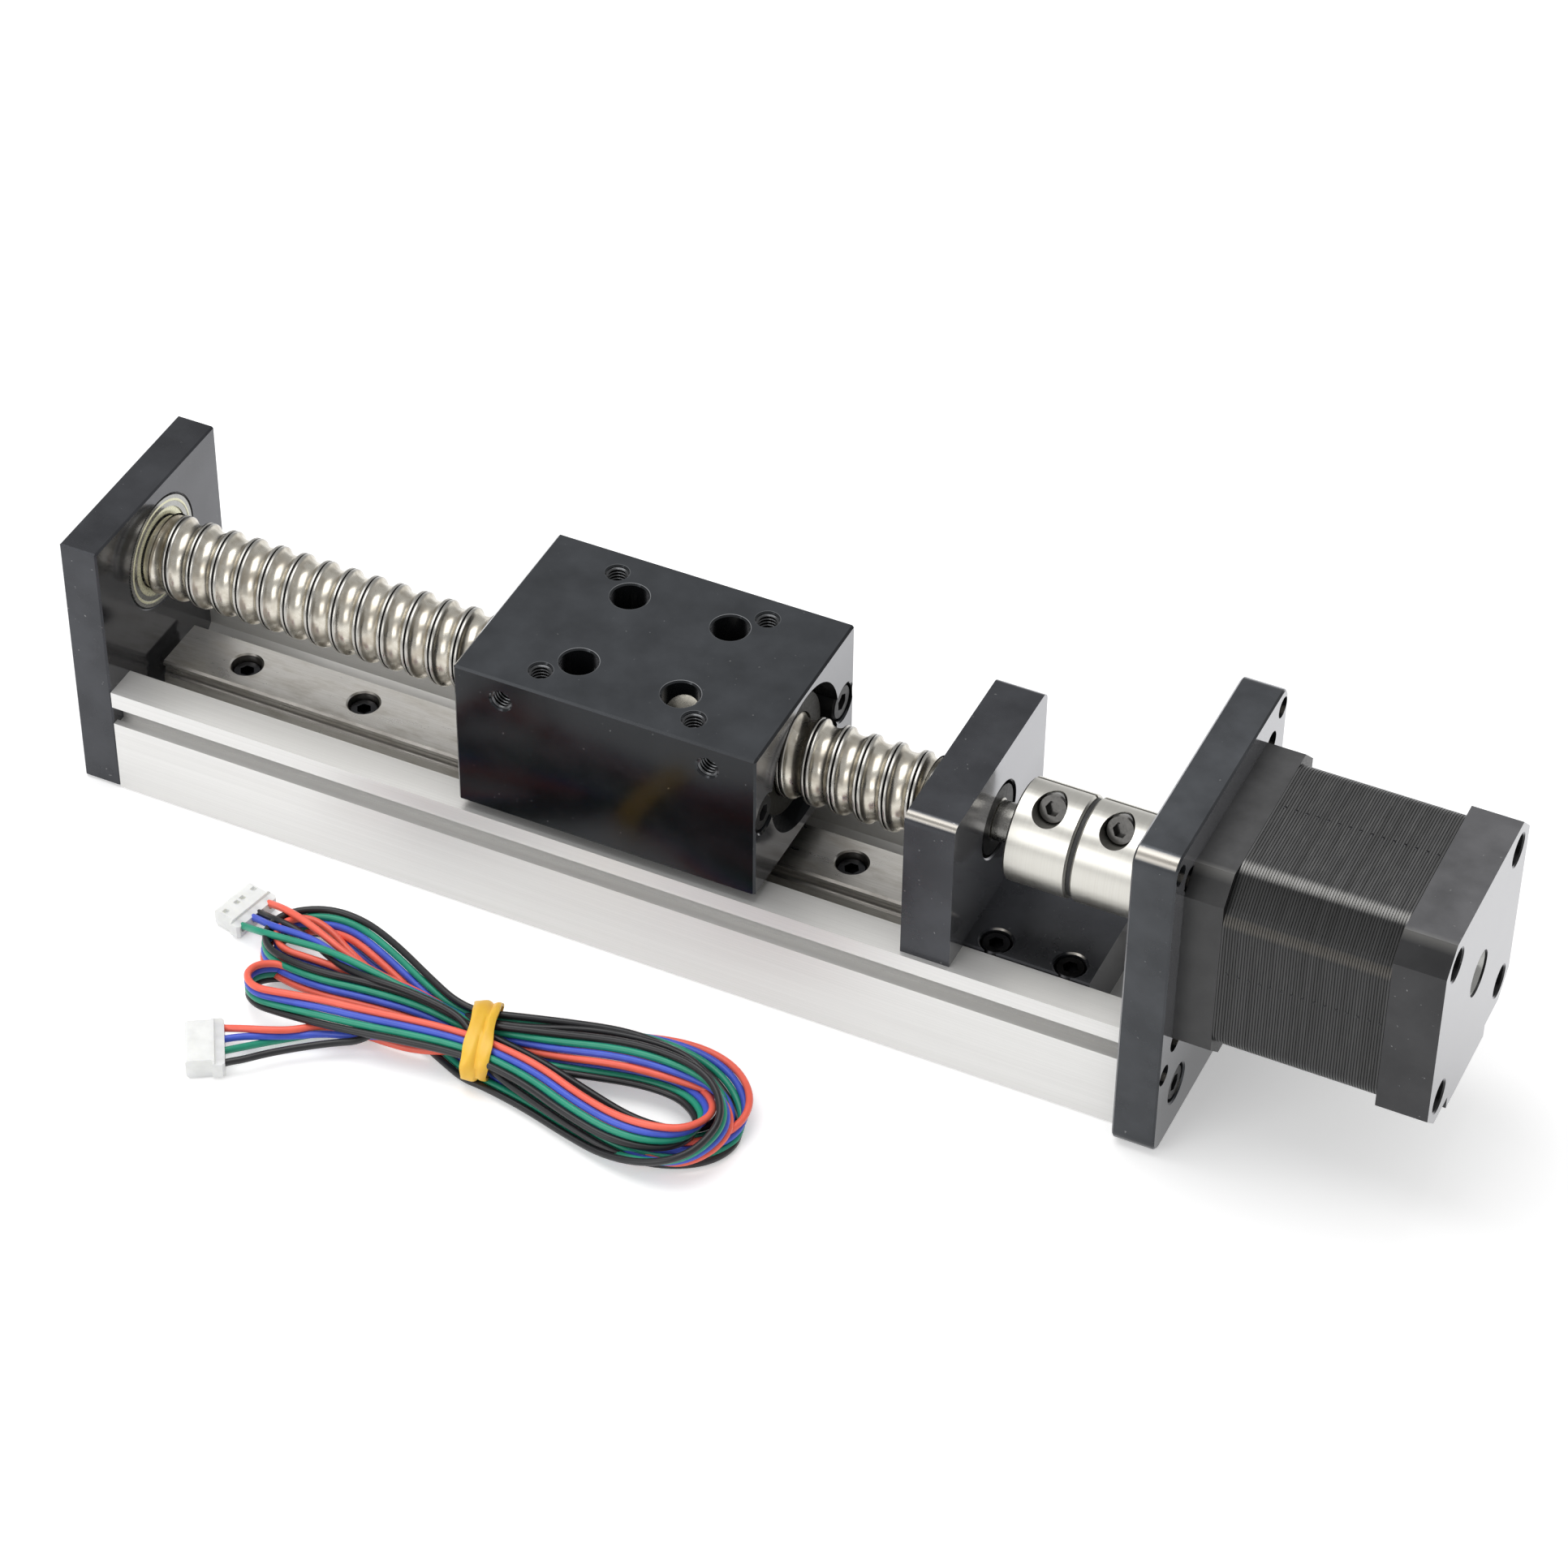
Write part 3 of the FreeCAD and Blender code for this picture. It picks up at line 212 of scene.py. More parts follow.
# Shader helpers
class Shader:
    """A material whose nodes are added one after the other."""

    def __init__(self, name):
        self.material = bpy.data.materials.new(name)
        self.material.use_nodes = True
        self.tree = self.material.node_tree
        self.surface = self.tree.nodes["Principled BSDF"]
        self.place = self.tree.nodes.new("ShaderNodeTexCoord")

    def put(self, name, value):
        self.surface.inputs[name].default_value = value

    def wire(self, output, name):
        self.tree.links.new(output, self.surface.inputs[name])

    def add(self, kind, links=None, **settings):
        node = self.tree.nodes.new(kind)
        for key, value in settings.items():
            setattr(node, key, value)
        for key, value in (links or {}).items():
            if isinstance(value, bpy.types.NodeSocket):
                self.tree.links.new(value, node.inputs[key])
            else:
                node.inputs[key].default_value = value
        return node

    def mapped(self, scale, turn=(0, 0, 0), shift=(0, 0, 0)):
        """Object coordinates in millimetres, stretched by scale."""
        node = self.add("ShaderNodeMapping", {"Vector": self.place.outputs["Object"],
                                              "Scale": [1000 * s for s in scale],
                                              "Rotation": turn, "Location": shift})
        return node.outputs["Vector"]

    def noise(self, scale, size=1.0, detail=4.0, rough=0.55):
        node = self.add("ShaderNodeTexNoise", {"Vector": self.mapped(scale), "Scale": size,
                                               "Detail": detail, "Roughness": rough})
        return node.outputs["Fac"]

    def ramp(self, value, stops):
        node = self.add("ShaderNodeValToRGB", {"Fac": value})
        points = node.color_ramp.elements
        for k, (position, colour) in enumerate(stops):
            point = points[k] if k < 2 else points.new(position)
            point.position = position
            point.color = colour if len(colour) == 4 else (*colour, 1)
        return node.outputs["Color"]

    def mix(self, factor, a, b, blend="MIX"):
        node = self.add("ShaderNodeMix", data_type="RGBA", blend_type=blend)
        for key, value in ((0, factor), (6, a), (7, b)):
            if isinstance(value, bpy.types.NodeSocket):
                self.tree.links.new(value, node.inputs[key])
            else:
                node.inputs[key].default_value = value if key == 0 else (*value, 1)
        return node.outputs[2]

    def span(self, value, low, high, to_low=0.0, to_high=1.0):
        node = self.add("ShaderNodeMapRange", {"Value": value, "From Min": low, "From Max": high,
                                               "To Min": to_low, "To Max": to_high})
        return node.outputs["Result"]

    def math(self, operation, a, b=None, c=None):
        node = self.add("ShaderNodeMath", operation=operation)
        for key, value in enumerate((a, b, c)):
            if value is None:
                continue
            if isinstance(value, bpy.types.NodeSocket):
                self.tree.links.new(value, node.inputs[key])
            else:
                node.inputs[key].default_value = value
        return node.outputs[0]

    def place_mm(self, axis, centre=0.0, fold=False):
        """One object coordinate in millimetres from a centre, or how far it is from it."""
        split = self.add("ShaderNodeSeparateXYZ", {"Vector": self.place.outputs["Object"]})
        value = self.math("MULTIPLY_ADD", split.outputs[axis], 1000.0, -centre)
        return self.math("ABSOLUTE", value) if fold else value

    def facing(self, x, y, z, start, end):
        """One where the surface looks along x, y, z."""
        links = {0: self.place.outputs["Normal"], 1: Vector((x, y, z)).normalized()}
        node = self.add("ShaderNodeVectorMath", links, operation="DOT_PRODUCT")
        return self.span(node.outputs["Value"], start, end)

    def painted_face_shade(self, colour, up, near, between, right=None):
        """Painted light and shade: the colour lighter or darker on faces that look up, to the front, to the
        right or elsewhere.
        """
        level = self.math("MULTIPLY_ADD", self.facing(0, 0, 1, 0.8, 0.95), up - between, between)
        level = self.math("MULTIPLY_ADD", self.facing(0, -1, 0, 0.8, 0.95), near - between, level)
        if right is not None:
            level = self.math("MULTIPLY_ADD", self.facing(1, 0, 0, 0.8, 0.95), right - between, level)
        return self.mix(1.0, colour, level, "MULTIPLY")

    def bump(self, height, depth_mm, strength=0.4):
        node = self.add("ShaderNodeBump", {"Height": height, "Distance": depth_mm * MM,
                                           "Strength": strength})
        self.wire(node.outputs["Normal"], "Normal")

    def finish(self, metallic, roughness, **others):
        self.put("Metallic", metallic)
        if isinstance(roughness, bpy.types.NodeSocket):
            self.wire(roughness, "Roughness")
        else:
            self.put("Roughness", roughness)
        for key, value in others.items():
            self.put(key.replace("_", " "), value)
        return self.material


# Heights above the axis line, in millimetres, where the motor's painted highlight line rises and falls
GLINT_RISE = (1.5, 3.9)
GLINT_FALL = (4.2, 5.4)
# How much of the painted reflection is left at the foot of a black plate, where it fades into painted shade
PAINTED_SHINE_AT_FOOT = 0.25
# The carriage's holes, each with a painted highlight on its rim: distance from its middle, inner and outer
# radius of the rim, and the strength of its painted highlight
HOLE_RIM_HIGHLIGHTS = ((10.0, 3.35, 3.85, 0.85), (15.0, 1.95, 2.45, 0.3))
# Radii between which the screw's colour goes from groove to crest
GROOVE_TONE_R = 6.9
CREST_TONE_R = 7.86


def wear(s, colour, spread, scale):
    """The colour, a little lighter and darker in soft patches."""
    dark = [c * (1 - spread) for c in colour]
    light = [min(1, c * (1 + spread)) for c in colour]
    return s.ramp(s.noise(scale, detail=6), [(0.35, dark), (0.65, light)])


def extruded_aluminium():
    """Satin anodised extrusion: fine die lines along X and faint handling marks."""
    s = Shader("extruded_aluminium")
    lines = s.noise((0.012, 3.5, 3.5), detail=3)
    broad = s.noise((0.02, 0.3, 0.5), detail=2)
    colour = s.ramp(lines, [(0.3, (0.74, 0.735, 0.72)), (0.7, (0.8, 0.795, 0.78))])
    colour = s.mix(s.span(broad, 0.4, 0.7, 0.0, 0.3), colour, (0.7, 0.69, 0.675))
    marks = s.noise((0.6, 0.9, 0.9), detail=8, rough=0.75)
    colour = s.mix(s.span(marks, 0.71, 0.78, 0.0, 0.3), colour, (0.4, 0.39, 0.37))
    # Painted shade: faces that look up are a little darker than the sides.
    s.wire(s.painted_face_shade(colour, 0.93, 1.0, 1.0), "Base Color")
    s.bump(lines, 0.008, 0.22)
    return s.finish(0.5, s.span(lines, 0.3, 0.7, 0.38, 0.46))


def painted_chamfer_highlight(s, base):
    """A painted highlight: a soft light line where the motor's upper front chamfer begins."""
    across = s.math("ADD", s.place_mm("Z", AXIS_Z / MM), s.place_mm("Y"))
    line = s.math("MULTIPLY", s.span(across, *GLINT_RISE), s.span(across, *GLINT_FALL, 1.0, 0.0))
    line = s.math("MULTIPLY", line, s.facing(0, -0.3, 0.95, 0.85, 0.9))
    return s.mix(s.math("MULTIPLY", line, 0.22), base, (0.5, 0.49, 0.46))


def black_gloss(name, tint, satin_sides, up=1.0, near=1.0, between=1.0, painted_mirror=0.6,
                painted_round_edge_highlight=0.0, low=0.0, details=None):
    """Glossy black anodising. A painted reflection whitens it at a shallow angle; milled edges are more
    satin.

    The painted reflection fades to painted shade below the height low, a painted highlight may go on the
    rounded near top edge, and details is a function that adds to the base colour.
    """
    s = Shader(name)
    speck = s.noise((9.0, 9.0, 9.0), detail=2)
    cloud = s.noise((0.12, 0.12, 0.12), detail=4)
    base = s.ramp(cloud, [(0.3, [c * 0.85 for c in tint]), (0.7, [c * 1.2 for c in tint])])
    base = s.painted_face_shade(base, up, near, between)
    dust = s.noise((1.3, 1.3, 1.3), detail=2, rough=0.4)
    base = s.mix(s.span(dust, 0.745, 0.78, 0.0, 0.5), base, (0.35, 0.35, 0.35))
    # Painted reflection: the base colour turns towards white at a shallow angle.
    facing = s.add("ShaderNodeLayerWeight", {"Blend": 0.5}).outputs["Facing"]
    painted_shine = s.span(facing, 0.45, 0.72, 0.0, painted_mirror)
    painted_shine = s.math("MULTIPLY", painted_shine, painted_shine)
    # Painted shade: the painted reflection fades towards the foot of the plate.
    if low:
        painted_shine = s.math("MULTIPLY", painted_shine, s.span(s.place_mm("Z"), low * 0.3, low, PAINTED_SHINE_AT_FOOT, 1.0))
    base = s.mix(painted_shine, base, (0.95, 0.95, 1.0))
    # Painted highlight on the rounded near top edge.
    if painted_round_edge_highlight:
        light = s.math("MULTIPLY", s.facing(0, -0.58, 0.81, 0.9, 0.985), painted_round_edge_highlight)
        base = s.mix(light, base, (0.75, 0.7, 0.62))
    if details:
        base = details(s, base)
    s.wire(base, "Base Color")
    across = s.add("ShaderNodeSeparateXYZ", {"Vector": s.place.outputs["Normal"]}).outputs["X"]
    end_face = s.span(s.math("ABSOLUTE", across), 0.8, 0.95, 0.0, 1.0)
    gloss = s.span(cloud, 0.3, 0.7, 0.09, 0.16)
    satin = s.span(end_face, 0.0, 1.0, satin_sides, 0.0)
    s.bump(speck, 0.004, 0.25)
    return s.finish(0.75, s.math("ADD", gloss, satin), Specular_IOR_Level=0.5)


def painted_hole_rim_highlights(s, base):
    """Painted highlights: bright crescents on the far side of the carriage's holes, where countersinks catch
    light.
    """
    low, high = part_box("carriage")
    middle = (low[0] + high[0]) / 2 / MM
    across = s.place_mm("Y")
    far = s.math("SIGN", across)
    top = s.facing(0, 0, 1, 0.8, 0.95)
    for place, inner, outer, light in HOLE_RIM_HIGHLIGHTS:
        x = s.math("SUBTRACT", s.place_mm("X", middle, True), place)
        y = s.math("SUBTRACT", s.place_mm("Y", 0.0, True), place)
        radius = s.math("SQRT", s.math("ADD", s.math("MULTIPLY", x, x), s.math("MULTIPLY", y, y)))
        ring = s.math("MULTIPLY", s.span(radius, inner, inner + 0.08),
                      s.span(radius, outer - 0.12, outer, 1.0, 0.0))
        behind = s.span(s.math("MULTIPLY", y, far), -0.35 * outer, 0.9 * outer, 0.12, 1.0)
        edge = s.math("MULTIPLY", s.math("MULTIPLY", ring, behind), s.math("MULTIPLY", top, light))
        base = s.mix(edge, base, (0.62, 0.63, 0.65))
    return base


def ground_steel():
    """Ground bearing steel with faint brown-grey smears, lines along X."""
    s = Shader("ground_steel")
    lines = s.noise((0.05, 5.0, 5.0), detail=3)
    smear = s.noise((0.11, 0.35, 0.35), detail=7, rough=0.65)
    colour = s.ramp(lines, [(0.3, (0.56, 0.54, 0.5)), (0.7, (0.66, 0.64, 0.61))])
    colour = s.mix(s.span(smear, 0.48, 0.68, 0.0, 0.55), colour, (0.36, 0.33, 0.28))
    # Painted shade: the rail's near upper chamfer darker.
    colour = s.mix(s.math("MULTIPLY", s.facing(0, -1, 1, 0.85, 0.97), 0.75), colour, (0.12, 0.11, 0.1))
    s.wire(colour, "Base Color")
    s.bump(lines, 0.01, 0.3)
    return s.finish(1.0, s.span(smear, 0.35, 0.7, 0.26, 0.42))


def screw_steel():
    """Rolled and polished screw: bright lands, grooves with warm oil stains."""
    s = Shader("screw_steel")
    axes = s.add("ShaderNodeSeparateXYZ", {"Vector": s.place.outputs["Object"]})
    height = s.math("SUBTRACT", axes.outputs["Z"], AXIS_Z)
    radius = s.math("SQRT", s.math("ADD", s.math("MULTIPLY", height, height),
                                   s.math("MULTIPLY", axes.outputs["Y"], axes.outputs["Y"])))
    depth = s.span(radius, GROOVE_TONE_R * MM, CREST_TONE_R * MM)
    stain = s.noise((0.35, 0.5, 0.5), detail=5)
    groove = s.mix(s.span(stain, 0.4, 0.65), (0.62, 0.59, 0.52), (0.46, 0.42, 0.35))
    colour = s.mix(s.span(depth, 0.75, 1.0), groove, (0.42, 0.41, 0.385))
    s.wire(colour, "Base Color")
    s.bump(s.noise((2.0, 2.0, 2.0)), 0.01, 0.25)
    return s.finish(1.0, s.span(stain, 0.3, 0.7, 0.24, 0.34))


def plain_metal(name, colour, rough, grain=3.0, depth=0.008, spread=0.12, metal=1.0):
    s = Shader(name)
    s.wire(wear(s, colour, spread, (0.5, 0.5, 0.5)), "Base Color")
    fine = s.noise((grain, grain, grain), detail=3)
    s.bump(fine, depth, 0.3)
    return s.finish(metal, s.span(fine, 0.3, 0.7, rough * 0.8, rough * 1.25))


def turned_aluminium():
    """Turned aluminium: fine rings round the X axis."""
    s = Shader("turned_aluminium")
    rings = s.noise((7.0, 0.05, 0.05), detail=3)
    colour = s.ramp(rings, [(0.3, (0.61, 0.595, 0.55)), (0.7, (0.65, 0.64, 0.595))])
    s.wire(colour, "Base Color")
    s.bump(rings, 0.003, 0.2)
    return s.finish(0.95, s.span(rings, 0.3, 0.7, 0.3, 0.36))


def black_lamination():
    """The motor's stack: blackened sheets, each a little lighter or darker than the next, with painted shade
    by face.
    """
    s = Shader("black_lamination")
    sheets = s.noise((2.0, 0.02, 0.02), detail=1)
    edge = s.noise((1.5, 0.25, 0.25), detail=3)
    colour = s.ramp(sheets, [(0.35, (0.06, 0.06, 0.06)), (0.65, (0.085, 0.085, 0.086))])
    colour = s.mix(s.span(edge, 0.5, 0.75, 0.0, 0.35), colour, (0.13, 0.13, 0.125))
    colour = s.painted_face_shade(colour, 1.25, 0.62, 0.4)
    # Painted highlight where the top rounds into the upper chamfer, painted warm reflection where it meets
    # the near face.
    painted_highlight_faces = s.facing(0, -0.34, 0.94, 0.965, 0.998)
    colour = s.mix(s.math("MULTIPLY", painted_highlight_faces, 0.24), colour, (0.5, 0.49, 0.46))
    painted_warm_reflection = s.facing(0, -0.94, 0.34, 0.97, 0.998)
    colour = s.mix(s.math("MULTIPLY", painted_warm_reflection, 0.12), colour, (0.5, 0.44, 0.36))
    s.wire(colour, "Base Color")
    s.bump(s.noise((3.0, 3.0, 3.0)), 0.01, 0.3)
    return s.finish(0.5, s.span(edge, 0.3, 0.7, 0.3, 0.42))


def black_paint(name, tint, rough):
    """Powder coat: a fine even grain, with painted shade by face and a painted highlight along the upper
    front chamfer.
    """
    s = Shader(name)
    grain = s.noise((4.0, 4.0, 4.0), detail=2)
    base = s.painted_face_shade(wear(s, tint, 0.2, (0.2, 0.2, 0.2)), 1.35, 0.5, 0.4, 0.25)
    s.wire(painted_chamfer_highlight(s, base), "Base Color")
    s.bump(grain, 0.02, 0.25)
    return s.finish(0.1, s.span(grain, 0.3, 0.7, rough * 0.85, rough * 1.2))


def moulded(name, colour, rough, **others):
    """Moulded plastic or rubber with a faint uneven skin."""
    s = Shader(name)
    s.wire(wear(s, colour, 0.06, (0.25, 0.25, 0.25)), "Base Color")
    skin = s.noise((1.6, 1.6, 1.6), detail=3)
    s.bump(skin, 0.02, 0.2)
    return s.finish(0.0, s.span(skin, 0.3, 0.7, rough * 0.85, rough * 1.15), **others)


finishes = {
    "profile_aluminium": extruded_aluminium(),
    "black_anodised": black_gloss("black_anodised_plate", (0.05, 0.052, 0.058), 0.16),
    "guide_steel": ground_steel(),
    "screw_steel": screw_steel(),
    "bearing_steel": plain_metal("bearing_steel", (0.4, 0.4, 0.385), 0.26, metal=0.85, spread=0.04),
    "shield_gold": plain_metal("shield_gold", (0.86, 0.84, 0.6), 0.3, metal=0.4, spread=0.04),
    "black_screw_steel": plain_metal("black_screw_steel", (0.035, 0.035, 0.037), 0.22),
    "bright_screw_steel": plain_metal("bright_screw_steel", (0.62, 0.62, 0.6), 0.25),
    "cap_plastic": moulded("cap_plastic", (0.03, 0.03, 0.03), 0.4),
    "seal_rubber": moulded("seal_rubber", (0.025, 0.025, 0.025), 0.6),
    "wiper_plastic": moulded("wiper_plastic", (0.03, 0.028, 0.022), 0.5, Specular_IOR_Level=0.2),
    "coupling_aluminium": turned_aluminium(),
    "insert_plastic": moulded("insert_plastic", (0.02, 0.02, 0.02), 0.6),
    # The motor: painted shade by face, a painted highlight along the upper front chamfer, and a painted
    # reflection on the rear cap.
    "motor_black": black_paint("motor_black", (0.045, 0.045, 0.046), 0.38),
    "motor_rear": black_gloss("motor_rear", (0.05, 0.05, 0.052), 0.2, up=3.0, near=0.9, between=0.6,
                              painted_mirror=0.57, details=painted_chamfer_highlight),
    "stack_steel": black_lamination(),
    "magnet_grey": plain_metal("magnet_grey", (0.3, 0.3, 0.3), 0.4),
    "winding_copper": plain_metal("winding_copper", (0.6, 0.27, 0.12), 0.35),
    "plug_white": moulded("plug_white", (0.85, 0.86, 0.84), 0.4, Subsurface_Weight=0.3,
                          Subsurface_Radius=(0.004, 0.004, 0.003), Subsurface_Scale=1.0),
    "pin_metal": plain_metal("pin_metal", (0.7, 0.68, 0.6), 0.3),
    "wire_plastic": moulded("wire_plastic", (0.5, 0.2, 0.2), 0.35),
    "band_rubber": moulded("band_rubber", (1.0, 0.54, 0.055), 0.4, Subsurface_Weight=0.2,
                           Subsurface_Radius=(0.003, 0.0015, 0.0005), Subsurface_Scale=1.0),
}


def wire_plastic(name, colour):
    """Glossy insulation with a soft sheen; the colour a little lighter and darker in soft patches."""
    s = Shader(name)
    s.wire(wear(s, colour, 0.08, (0.3, 0.3, 0.3)), "Base Color")
    s.bump(s.noise((1.2, 1.2, 1.2), detail=2), 0.02, 0.2)
    return s.finish(0.0, 0.34, Specular_IOR_Level=0.45)


# Materials on the CAD nodes: by slot, then the nodes with a finish of their own
slot_of = {part["node"]: part["material_slot"] for part in frame["record"]["subparts"]}
for name, piece in nodes.items():
    piece.data.materials.clear()
    piece.data.materials.append(finishes[slot_of[name]])
OWN_FINISHES = {
    "rail_screws": finishes["black_screw_steel"],
    "ball_nut": plain_metal("nut_steel", (0.2, 0.19, 0.165), 0.25),
    "coupling_clamp_screws": plain_metal("clamp_screw_steel", (0.075, 0.073, 0.07), 0.22),
    # The black plates: painted shade by face, a painted reflection fading to painted shade near the floor,
    # and painted highlights on hole rims and rounded near top edges.
    "carriage": black_gloss("black_anodised_carriage", (0.028, 0.03, 0.033), 0.02, up=2.4, near=0.8,
                            painted_mirror=0.58, low=58.0, details=painted_hole_rim_highlights),
    "motor_plate": black_gloss("black_anodised_motor_plate", (0.05, 0.053, 0.058), 0.16, up=1.75,
                               painted_round_edge_highlight=0.55, low=34.0),
    "bearing_support": black_gloss("black_anodised_support", (0.05, 0.052, 0.058), 0.16, up=1.3,
                                   painted_round_edge_highlight=0.45, low=44.0),
}
for name in ("nut_screws", "motor_plate_screws", "screw_lock_nut"):
    OWN_FINISHES[name] = moulded("black_oxide_" + name, (0.016, 0.016, 0.017), 0.4,
                                 Specular_IOR_Level=0.25)
# Painted shade: the support bearing's steel rings and shields get near-black metal, as they lie in shadow.
for name in ("support_bearing_outer_ring", "support_bearing_inner_ring", "support_bearing_shields"):
    OWN_FINISHES[name] = plain_metal("painted_shade_" + name, (0.05, 0.05, 0.048), 0.4)
for name, material in OWN_FINISHES.items():
    nodes[name].data.materials[0] = material


# Loose lead: four wires in a flat ribbon that passes eight times through a rubber band. The route is the
# ribbon's middle line, in millimetres from the module's left end; the fourth value is its tilt in degrees.
WIRE_D = 1.35
WIRE_PITCH = 1.4
WIRE_LOWEST = 0.52
TAIL_UPPER = [
    (85.4, -51.7, 7.0, -40), (93.0, -52.3, 6.4, -50), (99.0, -53.2, 6.0, -48), (103.4, -55.4, 5.3, -25),
]
RIGHT_WIDE = [
    (108.2, -59.2, 4.4, -5), (116.4, -61.6, 3.7, -3), (125.4, -64.1, 3.4, -5), (134.1, -66.0, 3.0, 3),
    (141.4, -65.0, 2.1, 23), (148.7, -61.3, 1.8, 45), (152.4, -56.5, 1.7, 71), (152.6, -51.2, 2.0, 105),
    (150.0, -46.8, 2.8, 139), (145.2, -42.8, 3.0, 162), (139.5, -41.2, 3.7, 185),
    (132.8, -41.2, 4.3, 211), (125.0, -42.4, 4.3, 237), (115.2, -46.0, 4.4, 258),
    (105.3, -49.4, 4.4, 269), (100.5, -51.0, 4.4, 270),
]
LEFT_OUTER = [
    (95.0, -51.0, 4.6, 285), (88.5, -48.8, 4.9, 310), (77.2, -43.0, 4.7, 337), (69.3, -39.7, 4.3, 344),
    (62.6, -39.3, 3.6, 325), (56.8, -42.0, 2.9, 297), (54.2, -46.6, 2.8, 268), (56.3, -51.7, 3.2, 258),
    (61.8, -54.8, 4.4, 252), (70.5, -56.0, 5.4, 240), (78.5, -55.0, 5.6, 229), (88.7, -54.1, 5.6, 244),
    (96.8, -54.6, 5.2, 263), (102.1, -55.2, 4.4, 267),
]
RIGHT_MIDDLE = [
    (109.1, -55.4, 3.4, 263), (116.4, -56.0, 2.1, 254), (126.4, -58.9, 1.8, 244),
    (135.3, -61.2, 1.8, 236), (143.1, -60.7, 1.8, 228), (148.5, -57.5, 1.6, 224),
    (150.2, -52.5, 1.7, 217), (148.3, -48.4, 2.2, 229), (144.0, -45.4, 2.8, 241),
    (138.3, -43.3, 3.4, 257), (130.8, -43.7, 4.0, 268), (120.0, -45.6, 4.0, 268),
    (109.7, -50.2, 3.9, 269), (101.3, -52.5, 3.8, 272),
]
LEFT_INNER = [
    (95.0, -51.4, 2.6, 305), (89.5, -49.0, 2.0, 343), (78.4, -45.0, 1.4, 368), (70.6, -42.2, 1.4, 385),
    (65.0, -41.0, 2.3, 424), (59.9, -41.0, 2.7, 443), (56.6, -44.0, 2.8, 449), (56.6, -47.9, 2.9, 450),
    (59.9, -51.0, 3.0, 450), (65.2, -51.1, 3.1, 444), (71.2, -51.4, 3.1, 430), (78.4, -52.5, 3.0, 418),
    (86.6, -53.9, 2.6, 400), (92.9, -55.8, 1.9, 382), (97.8, -57.7, 1.2, 371), (103.3, -60.1, 1.2, 368),
]
RIGHT_LOW = [
    (107.0, -60.3, 1.3, 365), (116.6, -62.1, 1.4, 363), (125.8, -64.7, 1.4, 360),
    (134.6, -67.1, 1.8, 350), (142.8, -67.9, 3.3, 323), (148.7, -66.0, 4.9, 293),
    (151.7, -60.3, 6.2, 262), (151.2, -55.1, 6.9, 241), (147.1, -50.5, 7.2, 248),
    (141.5, -49.4, 7.6, 284), (133.8, -49.5, 7.8, 315), (126.4, -50.5, 7.7, 326),
    (115.5, -52.2, 6.1, 302), (107.1, -53.2, 5.3, 275), (101.7, -53.9, 4.7, 268),
]
LEFT_LOW = [
    (97.6, -53.0, 3.4, 294), (93.5, -52.9, 2.1, 325), (82.4, -53.4, 1.1, 355), (72.4, -54.1, 1.4, 378),
    (66.5, -53.7, 2.5, 418), (61.4, -53.8, 2.9, 442), (58.0, -56.8, 3.6, 449), (58.0, -60.8, 4.5, 450),
    (61.4, -63.7, 5.2, 449), (66.6, -63.6, 5.7, 436), (73.5, -63.0, 6.2, 407), (82.2, -62.3, 6.7, 390),
    (92.3, -60.7, 6.9, 382), (98.6, -59.8, 6.8, 377), (103.3, -59.6, 6.8, 372),
]
RIGHT_FRONT = [
    (107.6, -59.7, 6.8, 373), (116.2, -61.2, 7.0, 381), (125.7, -64.6, 7.1, 383),
    (134.2, -66.3, 6.8, 398), (141.4, -65.4, 6.5, 422), (146.6, -62.4, 6.4, 457),
    (148.0, -56.9, 6.1, 492), (144.5, -52.2, 4.7, 519), (139.2, -49.7, 3.6, 535),
    (131.7, -50.1, 3.4, 545), (123.2, -52.1, 3.3, 545), (115.4, -53.7, 2.9, 547),
    (108.8, -55.7, 2.9, 549), (102.9, -58.1, 3.6, 550),
]
TAIL_LOWER = [
    (98.1, -59.3, 4.0, 601), (92.0, -59.5, 3.7, 651), (86.4, -59.8, 3.2, 643),
]
ROUTE = (TAIL_UPPER + RIGHT_WIDE + LEFT_OUTER + RIGHT_MIDDLE + LEFT_INNER
         + RIGHT_LOW + LEFT_LOW + RIGHT_FRONT + TAIL_LOWER)

